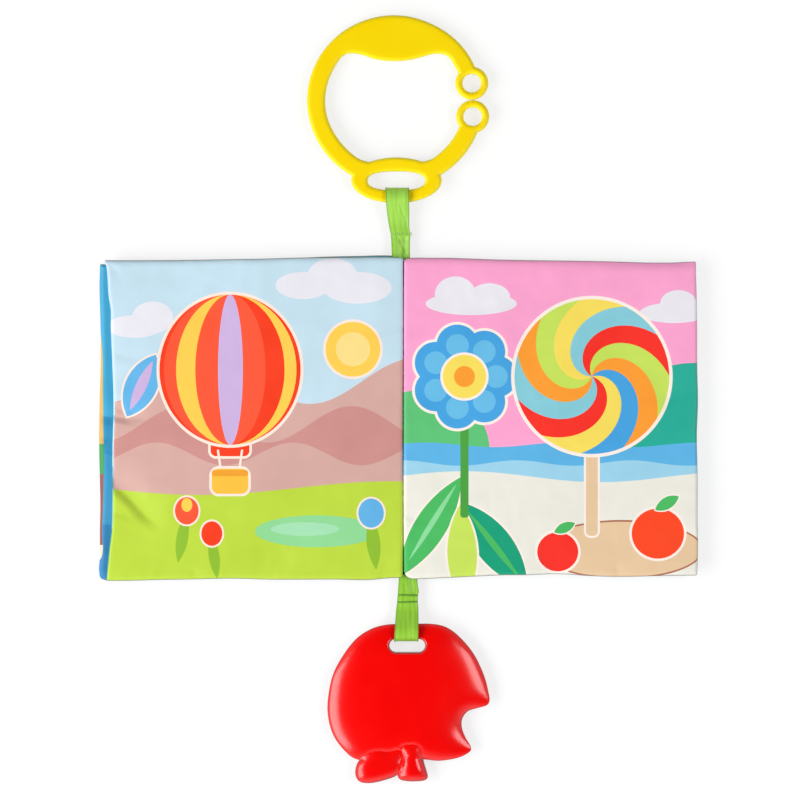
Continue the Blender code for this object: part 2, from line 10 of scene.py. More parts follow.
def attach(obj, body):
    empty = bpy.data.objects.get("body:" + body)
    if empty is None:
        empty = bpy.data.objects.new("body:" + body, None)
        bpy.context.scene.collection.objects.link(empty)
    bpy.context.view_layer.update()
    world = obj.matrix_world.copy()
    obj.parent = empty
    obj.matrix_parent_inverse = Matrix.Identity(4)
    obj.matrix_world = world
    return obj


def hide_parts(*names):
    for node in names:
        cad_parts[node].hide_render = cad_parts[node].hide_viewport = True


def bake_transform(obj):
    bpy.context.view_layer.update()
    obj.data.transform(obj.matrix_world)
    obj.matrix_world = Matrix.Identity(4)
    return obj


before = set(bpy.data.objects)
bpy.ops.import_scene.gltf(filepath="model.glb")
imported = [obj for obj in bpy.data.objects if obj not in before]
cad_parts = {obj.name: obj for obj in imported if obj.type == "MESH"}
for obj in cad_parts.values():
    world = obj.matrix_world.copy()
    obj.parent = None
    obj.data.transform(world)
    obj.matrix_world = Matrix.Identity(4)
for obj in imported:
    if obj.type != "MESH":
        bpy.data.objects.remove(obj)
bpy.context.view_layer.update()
mm = 0.001  # every dictionary below is in millimetres and degrees unless its note says otherwise


# sRGB hex to the linear colour that a shader takes
def linear(hexColour):
    channels = [int(hexColour[k:k + 2], 16) / 255 for k in (1, 3, 5)]
    return (*(c / 12.92 if c <= 0.04045 else ((c + 0.055) / 1.055) ** 2.4 for c in channels), 1.0)


# Where a link starts. A node stands for its first output.
def source(value):
    return value.outputs[0] if isinstance(value, bpy.types.Node) else value


# Adds a node, sets its properties, and feeds each input a number, a colour, an output or another node
def addNode(tree, kind, settings=None, inputs=None):
    made = tree.nodes.new(kind)
    for name, value in (settings or {}).items():
        setattr(made, name, value)
    for key, value in (inputs or {}).items():
        if isinstance(value, (bpy.types.Node, bpy.types.NodeSocket)):
            tree.links.new(source(value), made.inputs[key])
        else:
            made.inputs[key].default_value = linear(value) if isinstance(value, str) else value
    return made


# The node tree of a material or a world, with nothing in it
def emptyTree(owner):
    owner.use_nodes = True
    owner.node_tree.nodes.clear()
    return owner.node_tree


# An empty Principled material: returns the material, its node tree and the shader
def startMaterial(name, constants):
    made = bpy.data.materials.new(name)
    tree = emptyTree(made)
    shader = addNode(tree, "ShaderNodeBsdfPrincipled", inputs=constants)
    addNode(tree, "ShaderNodeOutputMaterial", inputs={"Surface": shader})
    return made, tree, shader


# Feeds a shader its colour and relief, and its roughness where that varies
def feedShader(tree, shader, colour, relief, rough=None):
    for name, value in (("Base Color", colour), ("Normal", relief), ("Roughness", rough)):
        if value is not None:
            tree.links.new(source(value), shader.inputs[name])


# Maps a texture's grey value from its usual spread onto a range of our own
def spread(tree, value, low, high, start=0.3, stop=0.7):
    return addNode(tree, "ShaderNodeMapRange", inputs={0: value, 1: start, 2: stop, 3: low, 4: high})


# A sum on numbers, and one on vectors, in which an input without a place in the order is given by its name
def maths(tree, operation, *values, **settings):
    return addNode(tree, "ShaderNodeMath", {"operation": operation, **settings}, dict(enumerate(values)))


def vectorMaths(tree, operation, *values, **named):
    made = addNode(tree, "ShaderNodeVectorMath", {"operation": operation}, {**dict(enumerate(values)), **named})
    return made.outputs["Value" if operation in ("LENGTH", "DISTANCE") else "Vector"]


# The three parts of a vector
def apart(tree, vector):
    return addNode(tree, "ShaderNodeSeparateXYZ", inputs={0: vector}).outputs


def coordinates(tree, system="Object"):
    return addNode(tree, "ShaderNodeTexCoord").outputs[system]


# One ink laid over another, by a share from 0 to 1
def laidOver(tree, share, under, over):
    return addNode(tree, "ShaderNodeMix", {"data_type": "RGBA"}, {0: share, 6: under, 7: over}).outputs[2]


# Noise with features of a size in millimetres
def noise(tree, spot, size, detail=3.0, **more):
    return addNode(tree, "ShaderNodeTexNoise",
                   inputs={"Vector": spot, "Scale": 1 / (size * mm), "Detail": detail, **more})


# Bands that repeat at a real distance in metres, or at a share of a texture's width
def bands(tree, direction, spot, period, uneven=0.0):
    return addNode(tree, "ShaderNodeTexWave", {"bands_direction": direction},
                   {"Vector": spot, "Scale": 2 * math.pi / (20 * period), "Distortion": uneven}).outputs["Fac"]


# Relief of a height in millimetres
def bump(tree, pattern, strength, height, **more):
    return addNode(tree, "ShaderNodeBump",
                   inputs={"Strength": strength, "Distance": height * mm, "Height": pattern, **more})


# A flat shape in a print: its kind, ink, middle and half sizes, and what else it needs. An edge is the width of its
# pale outline.
def inked(kind, ink, at, half, **more):
    return {"kind": kind, "ink": ink, "at": at, "half": half, **more}


# All that lies below a wavy line, such as hills, sea or sand: the line's height, how far it rises, the length of its
# waves and where they start
def below(ink, level, rise, wave, phase):
    return {"kind": "hill", "ink": ink, "level": level, "rise": rise, "wave": wave, "phase": phase}


# The printed pictures. Each layer is drawn over the ones before it.
leftPicture = {
    "ground": "#C5E0EE",
    "outline": "#FFE9DA",
    "layers": [
        inked("blob", "#EAE8F0", (-20, 57), (15, 7)),
        inked("blob", "#EAE8F0", (-31, 62), (11, 8)),
        inked("blob", "#EAE8F0", (-44, 58), (12, 6)),
        inked("blob", "#EAE8F0", (-118, 40), (12, 5)),
        inked("blob", "#EAE8F0", (-110, 44), (9, 7)),
        below("#D6AAA1", 16, 10, 92, 70),
        below("#CE908A", -3, 8, 74, 200),
        below("#D6AAA1", -16, 5, 60, 20),
        below("#BEDB3E", -31, 3, 170, 100),
        inked("blob", "#90DA96", (-38, -50), (27, 7)),
        inked("blob", "#A4E2B4", (-43, -49), (15, 3)),
        inked("blob", "#FFD050", (-22, 30), (12, 12), edge=1.1),
        inked("blob", "#FFE08A", (-22, 30), (7.5, 7.5)),
        inked("leaf", "#62B4E8", (-115, 14), (15, 7), turn=65, edge=0.9),
        inked("leaf", "#CDB2E0", (-115, 14), (12, 2.4), turn=65),
        inked("box", "#F83A10", (-76, -13), (8.5, 4), corner=2.4, edge=1.1),
        inked("box", "#FFE9DA", (-80.5, -20), (0.5, 6), corner=0.4, turn=8),
        inked("box", "#FFE9DA", (-71.5, -20), (0.5, 6), corner=0.4, turn=-8),
        inked("box", "#FFC03C", (-76, -28), (8, 5.5), corner=3, edge=1.1),
        inked("box", "#F0A028", (-76, -24.4), (8, 1.4), corner=1.3),
        inked("blob", "gores", (-76, 21), (31, 33), edge=1.3,
              colours=("#F83A10", "#FF5633", "#FFD050", "#FF5633", "#CDB2E0", "#FF5633", "#F83A10", "#FFD050",
                       "#F83A10")),
        inked("leaf", "#8FBF2E", (-97, -53), (11, 2.6), turn=80),
        inked("blob", "#FF5633", (-95, -41), (5.2, 6), edge=0.8),
        inked("blob", "#FFD050", (-95, -38.4), (2.4, 3)),
        inked("leaf", "#8FBF2E", (-83, -61), (10, 2.4), turn=98),
        inked("blob", "#F83A10", (-84, -51), (4.6, 5.4), edge=0.8),
        inked("leaf", "#8FBF2E", (-13, -55), (12, 3), turn=96),
        inked("blob", "#62B4E8", (-14, -42), (5.6, 6.4), edge=0.8),
    ],
}

rightPicture = {
    "ground": "#FDA4D0",
    "outline": "#FFF0E6",
    "layers": [
        inked("blob", "#ECE8F0", (30, 50), (20, 5)),
        inked("blob", "#ECE8F0", (23, 54), (9, 8)),
        inked("blob", "#ECE8F0", (38, 53), (9, 6)),
        inked("blob", "#ECE8F0", (119, 46), (15, 4.5)),
        inked("blob", "#ECE8F0", (121, 50), (8, 6)),
        inked("blob", "#1AAE98", (128, -2), (34, 26)),
        inked("blob", "#5CC477", (8, -14), (30, 26)),
        below("#5AB4E6", -12, 1, 60, 30),
        below("#9CD4EC", -20, 1.2, 50, 90),
        below("#EDEBDF", -26, 2.4, 120, 10),
        inked("blob", "#B06A50", (96, -58), (36, 13)),
        inked("blob", "#E8C8A0", (96, -58), (35.2, 12.2)),
        inked("leaf", "#48BB60", (12, -48), (26, 7), turn=58, edge=0.9),
        inked("leaf", "#8CDC9C", (13, -46), (20, 1.2), turn=58),
        inked("leaf", "#00A078", (40, -56), (24, 8), turn=128, edge=0.9),
        inked("leaf", "#48BB60", (40, -56), (19, 1.4), turn=128),
        inked("leaf", "#C8E45A", (26, -60), (22, 6.5), turn=92, edge=0.9),
        inked("box", "#48A03C", (27, -18), (1.8, 26), corner=1.2),
        inked("petals", "#42A4E2", (27, 18), (9.2, 9.2), reach=14, count=7, edge=1.2),
        inked("petals", "#66BDE8", (27, 18), (5, 5), reach=14, count=7),
        inked("blob", "#FAE05C", (27, 18), (9.5, 9.5), edge=1.1),
        inked("blob", "#FF9E2C", (27, 18), (4.6, 4.6)),
        inked("box", "#E8C8A0", (83, -28), (2.6, 24), corner=2, edge=0.9),
        inked("blob", "swirl", (83, 18), (34, 34), edge=1.5, twist=0.32,  # turns from the middle to the edge
              colours=("#FAE05C", "#C8E45A", "#FF9E2C", "#86CCDA", "#FA2A1C", "#FAE05C", "#42A4E2", "#FF9E2C",
                       "#C8E45A", "#FA2A1C", "#86CCDA")),
        inked("blob", "#FF4412", (112, -51), (11.5, 11), edge=1.1),
        inked("leaf", "#48BB60", (116, -37.6), (6, 2.6), turn=30, edge=0.6),
        inked("blob", "#FA2A1C", (68, -59), (9, 8.6), edge=1.1),
        inked("leaf", "#48BB60", (71, -48.4), (5, 2.2), turn=24, edge=0.6),
    ],
}

underPicture = {
    "ground": "#BFE8F0",
    "outline": "#FFFFFF",
    "layers": [
        {"kind": "dots", "ink": "#EAF6FA", "step": 22, "size": 0.26},
        below("#7CC4D8", -24, 3, 64, 40),
        below("#3E9C90", -46, 3, 80, 140),
    ],
}

liningPicture = {
    "ground": "#40AAD4",
    "outline": "#BFE3F4",
    "layers": [
        {"kind": "dots", "ink": "#56B5DC", "step": 26, "size": 0.30},
        below("#3298C6", -2, 2.5, 64, 120),
        below("#44A2CF", -16, 2.5, 52, 10),
        below("#368AC2", -50, 3, 70, 60),
    ],
}

coverPicture = {
    "ground": "#F4A6C6",
    "outline": "#FFE6D4",
    "layers": [
        below("#DCB258", 38, 2, 90, 10),
        below("#409E50", -11, 1, 90, 40),
        below("#93564E", -24, 1, 80, 120),
        below("#F2DCC2", -56, 0.5, 80, 220),
        below("#3F96D2", -63, 0.5, 70, 220),
        {"kind": "dots", "ink": "#FFE6D4", "step": 19, "size": 0.24},
    ],
}


# A ramp of flat bands of ink, one for each colour, across a value from 0 to 1
def bandInk(tree, share, colours):
    ramp = addNode(tree, "ShaderNodeValToRGB", inputs={0: share})
    ramp.color_ramp.interpolation = "CONSTANT"
    stops = ramp.color_ramp.elements
    while len(stops) < len(colours):
        stops.new(0.5)
    for k, colour in enumerate(colours):
        stops[k].position = k / len(colours)
        stops[k].color = linear(colour)
    return ramp


# Place in a shape's own axes, where the shape's half sizes are 1
def shapeAxes(tree, place, layer, half):
    x, y = layer["at"]
    turn = (0, 0, math.radians(layer.get("turn", 0)))
    return addNode(tree, "ShaderNodeMapping", {"vector_type": "TEXTURE"},
                   {"Vector": place, "Location": (x, y, 0), "Rotation": turn, "Scale": (*half, 1)})


# 1 inside a shape of the print and 0 outside it. Grow widens it for its outline.
def shapeMask(tree, place, layer, grow):
    if layer["kind"] == "hill":
        x, y, _ = apart(tree, place)
        turn = maths(tree, "MULTIPLY_ADD", x, 2 * math.pi / layer["wave"], math.radians(layer["phase"]))
        line = maths(tree, "MULTIPLY_ADD", maths(tree, "SINE", turn), layer["rise"], layer["level"])
        return maths(tree, "GREATER_THAN", line, y)
    if layer["kind"] == "dots":
        within = vectorMaths(tree, "FRACTION", vectorMaths(tree, "SCALE", place, Scale=1 / layer["step"]))
        return maths(tree, "LESS_THAN", vectorMaths(tree, "DISTANCE", within, (0.5, 0.5, 0)), layer["size"])
    half = [h + grow for h in layer["half"]]
    limit = 1.0
    if layer["kind"] == "box":
        corner = layer["corner"] + grow
        spot = shapeAxes(tree, place, layer, (1, 1))
        steps = (("ABSOLUTE",), ("SUBTRACT", (half[0] - corner, half[1] - corner, 0)), ("MAXIMUM", (0, 0, 0)))
        limit = corner
    elif layer["kind"] == "leaf":
        slim = half[1] / half[0]
        back = (1 - slim ** 2) / (2 * slim)
        spot = shapeAxes(tree, place, layer, (half[0], half[0]))
        steps = (("ABSOLUTE",), ("ADD", (0, back, 0)))
        limit = slim + back
    else:
        spot = shapeAxes(tree, place, layer, half)
        steps = ()
    for operation, *amount in steps:
        spot = vectorMaths(tree, operation, spot, *amount)
    return maths(tree, "LESS_THAN", vectorMaths(tree, "LENGTH", spot), limit)


# The ink of a round shape that is banded like a balloon's gores or twisted like a lollipop
def roundInk(tree, place, layer):
    spot = shapeAxes(tree, place, layer, layer["half"])
    x, y, _ = apart(tree, spot)
    if layer["ink"] == "gores":
        chord = maths(tree, "SQRT", maths(tree, "SUBTRACT", 1.0, maths(tree, "MULTIPLY", y, y)))
        angle = maths(tree, "ARCSINE", maths(tree, "DIVIDE", x, chord))
        share = maths(tree, "MULTIPLY_ADD", angle, 1 / math.pi, 0.5)
    else:
        angle = maths(tree, "ARCTAN2", y, x)
        away = vectorMaths(tree, "LENGTH", spot)
        turned = maths(tree, "MULTIPLY_ADD", angle, 0.5 / math.pi, 0.5)
        share = maths(tree, "FRACT", maths(tree, "MULTIPLY_ADD", away, layer["twist"], turned))
    return bandInk(tree, share, layer["colours"])


# A picture's layers mixed one over another. Petals are blobs set round a centre.
def paintPicture(tree, place, picture):
    ink = addNode(tree, "ShaderNodeRGB")
    source(ink).default_value = linear(picture["ground"])
    for layer in picture["layers"]:
        shapes = [layer]
        if layer["kind"] == "petals":
            (x, y), reach = layer["at"], layer["reach"]
            turns = [2 * math.pi * k / layer["count"] for k in range(layer["count"])]
            shapes = [{**layer, "kind": "blob", "at": (x + reach * math.cos(a), y + reach * math.sin(a))}
                      for a in turns]
        coats = [("outline", layer["edge"])] if "edge" in layer else []
        for coat, grow in coats + [("ink", 0)]:
            for shape in shapes:
                mask = shapeMask(tree, place, shape, grow)
                if coat == "outline":
                    colour = picture["outline"]
                elif "colours" in layer:
                    colour = roundInk(tree, place, layer)
                else:
                    colour = layer["ink"]
                ink = laidOver(tree, mask, ink, colour)
    return ink


polyester = {
    "constants": {"IOR": 1.5, "Specular IOR Level": 0.35, "Sheen Weight": 0.08, "Sheen Roughness": 0.4,
                  "Sheen Tint": "#FFFFFF"},
    "roughness": (0.44, 0.60),
    "thread": 0.9,  # real threads are 0.2 mm apart, too fine to show, so they are drawn coarser
    "threadRelief": 0.03,
    "rustle": 7.0,  # size of the small dents that the crinkle film presses into the cloth
    "rustleRelief": 0.22,
    "reliefStrength": 0.5,
    "dyeBlotch": 18.0,
    "dyeSpread": (0.965, 1.02),
}


# Printed polyester: smooth plain-woven microfibre, transfer printed. Soft broad sheen, even inks, small dents.
def printedPolyester(name, picture):
    made, tree, shader = startMaterial(name, polyester["constants"])
    spot = coordinates(tree)
    ink = paintPicture(tree, vectorMaths(tree, "MULTIPLY", spot, (1 / mm, 1 / mm, 0)), picture)
    blotch = noise(tree, spot, polyester["dyeBlotch"])
    toned = vectorMaths(tree, "SCALE", ink, Scale=spread(tree, blotch, *polyester["dyeSpread"]))
    rough = spread(tree, blotch, *polyester["roughness"])
    weave = maths(tree, "MULTIPLY", *(bands(tree, way, spot, polyester["thread"] * mm) for way in ("X", "Y")))
    woven = bump(tree, weave, polyester["reliefStrength"], polyester["threadRelief"])
    dents = noise(tree, spot, polyester["rustle"], 2.0, Roughness=0.4)
    relief = bump(tree, dents, polyester["reliefStrength"], polyester["rustleRelief"], Normal=woven)
    feedShader(tree, shader, toned, relief, rough)
    return made


# Painted shade: the turned seam edges are grey, where the seam lies in shadow
seamShadePicture = {"ground": "#868C82", "layers": []}
# Painted shade: the gutter's sewn edges are dark green, where the gutter lies in shadow
gutterShadePicture = {"ground": "#20402A", "layers": []}

prints = {
    "leftPrint": printedPolyester("printed polyester, left page", leftPicture),
    "rightPrint": printedPolyester("printed polyester, right page", rightPicture),
    "underPrint": printedPolyester("printed polyester, page backs", underPicture),
    "liningPrint": printedPolyester("printed polyester, lining", liningPicture),
    "coverPrint": printedPolyester("printed polyester, cover", coverPicture),
    "seamShadeEdge": printedPolyester("polyester turned seam edges, painted grey as shade", seamShadePicture),
    "gutterShadeEdge": printedPolyester("polyester sewn gutter edges, painted dark as shade", gutterShadePicture),
}


satin = {
    "constants": {"IOR": 1.5, "Sheen Weight": 0.25, "Sheen Roughness": 0.35, "Sheen Tint": "#F4FFD8"},
    "inks": {"upper": ("#B0E65A", "#88C63A"), "lower": ("#A4DA44", "#7CBC26")},  # pale streaks of painted sheen, and the deep green
    "streaks": (9.0, 60.0, 1.0),             # how many to the tape's width, and to a metre of its length
    "paintedSheenMix": (0.1, 0.95, 0.25, 0.75),    # least and most of the painted sheen, and the greys that give them
    "selvedge": "#64982C",
    "selvedgeMix": (0.0, 0.85, 0.44, 0.485),  # none and most of it, and where, as shares of the width off the middle
    "roughness": (0.34, 0.48),
    "width": 10.4,
    "rib": 0.75,  # the real warp is 0.15 mm, too fine to show
    "ribUneven": 0.6,
    "ribRelief": 0.012,
    "reliefStrength": 0.6,
}


# Satin tape: polyester warp floats run lengthwise, and its shine in streaks is painted into its colour as pale sheen.
# It is darker along both edges.
def satinTape(word):
    pale, deep = satin["inks"][word]
    made, tree, shader = startMaterial("polyester satin tape, green, " + word, satin["constants"])
    uv = addNode(tree, "ShaderNodeUVMap")
    streaks = addNode(tree, "ShaderNodeMapping", inputs={"Vector": uv, "Scale": satin["streaks"]})
    tone = addNode(tree, "ShaderNodeTexNoise", inputs={"Vector": streaks, "Scale": 1.0, "Detail": 3.0})
    # painted sheen: pale streaks laid over the deep green
    body = laidOver(tree, spread(tree, tone, *satin["paintedSheenMix"]), deep, pale)
    offMiddle = maths(tree, "ABSOLUTE", maths(tree, "SUBTRACT", apart(tree, uv)[0], 0.5))
    # the tape is darker along both edges
    dyed = laidOver(tree, spread(tree, offMiddle, *satin["selvedgeMix"]), body, satin["selvedge"])
    ribs = bands(tree, "X", uv, satin["rib"] / satin["width"], satin["ribUneven"])
    relief = bump(tree, ribs, satin["reliefStrength"], satin["ribRelief"])
    feedShader(tree, shader, dyed, relief, spread(tree, tone, *satin["roughness"]))
    return made


thread = {
    "constants": {"IOR": 1.5, "Sheen Weight": 0.2, "Roughness": 0.6},
    "turn": 0.5,  # length of one turn of its twist
    "uneven": 0.5,
    "relief": 0.05,
    "reliefStrength": 0.6,
}


# Sewing thread: two-ply spun polyester, matt, with the slanting twist of its plies
def sewingThread(name, light, dark):
    made, tree, shader = startMaterial(name, thread["constants"])
    twist = bands(tree, "DIAGONAL", coordinates(tree), thread["turn"] * mm, thread["uneven"])
    dyed = laidOver(tree, twist, dark, light)
    feedShader(tree, shader, dyed, bump(tree, twist, thread["reliefStrength"], thread["relief"]))
    return made


# Side is painted light and shade, laid where the surface turns away from up or down, from one slope to the other:
# lighter on the ring, darker on the teether. Flow is how far the colour drifts, and grain the size of the mould's
# grain.
moulded = {
    "ring": {
        "constants": {"IOR": 1.49, "Specular IOR Level": 0.22}, "roughness": (0.34, 0.44),
        # the ring's side ink is painted light on its slopes
        "colour": "#FFE000", "shade": "#FFDB00", "side": "#FFF020", "paintedShadeFrom": 0.97, "paintedShadeTo": 0.45,
        "flow": 22, "grain": 0.9, "relief": 0.01, "reliefStrength": 0.3,
    },
    "teether": {
        "constants": {"IOR": 1.5, "Specular IOR Level": 0.65}, "roughness": (0.18, 0.22),
        # the teether's side ink is painted shade on its slopes
        "colour": "#FA0300", "shade": "#F60000", "side": "#8E0A06", "paintedShadeFrom": 0.84, "paintedShadeTo": 0.34,
        "flow": 22, "grain": 2.4, "relief": 0.008, "reliefStrength": 0.3,
    },
}


# Injection moulded plastic: even colour and a fine satin grain off the mould. Its slopes get painted light or
# shade: lighter on the yellow ring, darker on the red teether.
def mouldedPlastic(name, look):
    made, tree, shader = startMaterial(name, look["constants"])
    spot = coordinates(tree)
    flow = noise(tree, spot, look["flow"])
    dyed = laidOver(tree, spread(tree, flow, 0.0, 1.0), look["shade"], look["colour"])
    flatness = maths(tree, "ABSOLUTE", apart(tree, coordinates(tree, "Normal"))[2])
    # painted light and shade: the side ink is laid over the colour where the surface slopes
    paintedSlopeShade = spread(tree, flatness, 1.0, 0.0, look["paintedShadeTo"], look["paintedShadeFrom"])
    dyed = laidOver(tree, paintedSlopeShade, dyed, look["side"])
    relief = bump(tree, noise(tree, spot, look["grain"], 2.0), look["reliefStrength"], look["relief"])
    feedShader(tree, shader, dyed, relief, spread(tree, flow, *look["roughness"]))
    return made


tapeGreens = {word: satinTape(word) for word in satin["inks"]}
threadGreens = {"upper": sewingThread("spun polyester thread, pale green", "#C2EE8C", "#86C244"),
                "lower": sewingThread("spun polyester thread, green", "#6FA82C", "#457A12")}
threadWhite = sewingThread("spun polyester thread, white", "#F2F0E6", "#C9C6B8")
ringYellow = mouldedPlastic("moulded polypropylene, yellow", moulded["ring"])
teetherRed = mouldedPlastic("moulded soft plastic, red", moulded["teether"])
print("materials made:", len(bpy.data.materials))


def addObject(name, data):
    made = bpy.data.objects.new(name, data)
    bpy.context.scene.collection.objects.link(made)
    return made


# Puts a mesh of millimetre points into the scene in metres
def addPiece(name, points, faces, materials, faceMaterials=None):
    mesh = bpy.data.meshes.new(name)
    mesh.from_pydata([tuple(float(c) * mm for c in p) for p in points], [], faces)
    for material in materials:
        mesh.materials.append(material)
    if faceMaterials is not None:
        mesh.polygons.foreach_set("material_index", faceMaterials)
    mesh.shade_smooth()
    return addObject(name, mesh)


# Makes every face look outward
def turnFacesOut(piece):
    bm = bmesh.new()
    bm.from_mesh(piece.data)
    bmesh.ops.recalc_face_normals(bm, faces=bm.faces)
    bm.to_mesh(piece.data)
    bm.free()


# The faces of one cell of a grid of points, on an upper skin and on the lower one, whose points follow it
def cellFaces(i, j, columns, count):
    a, b = i * columns + j, (i + 1) * columns + j
    return [(a, b, b + 1, a + 1), (count + a + 1, count + b + 1, count + b, count + a)]


# A quarter round: how high an edge has risen at a share of its width
def rounded(share):
    return np.sqrt(np.clip(1 - (1 - np.clip(share, 0, 1)) ** 2, 0, 1))


# A line's points at even steps of its length, and how far along it each of them lies
def evenSteps(line, step):
    travel = np.concatenate(((0,), np.cumsum(np.linalg.norm(np.diff(line, axis=0), axis=1))))
    at = np.linspace(0, travel[-1], round(travel[-1] / step) + 1)
    return np.stack([np.interp(at, travel, line[:, k]) for k in (0, 1)], 1), at


# A smooth curve through measured points, read off at the places asked for
def through(points, at):
    xs, ys = np.array(points, float).T
    slopes = np.gradient(ys, xs)
    at = np.asarray(at, float)
    k = np.clip(np.searchsorted(xs, at) - 1, 0, len(xs) - 2)
    span = xs[k + 1] - xs[k]
    t = np.clip((at - xs[k]) / span, 0, 1)
    ends = ys[k] * (1 + 2 * t) * (1 - t) ** 2 + ys[k + 1] * t ** 2 * (3 - 2 * t)
    return ends + span * (slopes[k] * t * (1 - t) ** 2 - slopes[k + 1] * t ** 2 * (1 - t))


# Smooth random swells: waves of seeded directions and lengths, from about -1 to 1
def swells(x, y, seed, shortest, longest, count=9):
    rng = np.random.default_rng(seed)
    total = np.zeros_like(x)
    for _ in range(count):
        heading, phase = rng.uniform(0, 2 * math.pi, 2)
        length = rng.uniform(shortest, longest)
        total += np.sin(2 * math.pi * (x * math.cos(heading) + y * math.sin(heading)) / length + phase)
    return total / math.sqrt(count)


leafForm = {
    "half": 1.78,           # half the thickness of the padded part
    "rim": 0.14,            # half the thickness left where the two cloths meet in the seam
    "flange": 0.24,         # how far the turned seam stands out beyond the two cloths
    "deepest": 2.3,         # the most that dips and creases take off a face
    "rimLines": 7,          # grid lines over a rolled rim
    "overlapLines": 3,      # how many of them the other cloth takes where it rolls over
    "leastOverlap": 0.08,   # a narrower roll-over isn't seen
    "broadDip": 0.34,
    "broadShare": (0.5, 0.3, 1.2),  # its level, its swing and its top
    "broadWaves": (30, 75),         # the shortest and the longest
    "rustleDip": 0.09,
    "rustleWaves": (9, 24, 7),      # and how many
    "pucker": 0.10,
    "puckerPitch": 6.5,
    "puckerReach": 3.5,
    "puckerDrift": 2.2,     # how unevenly the puckers are spaced
    "driftWaves": (25, 60),
}

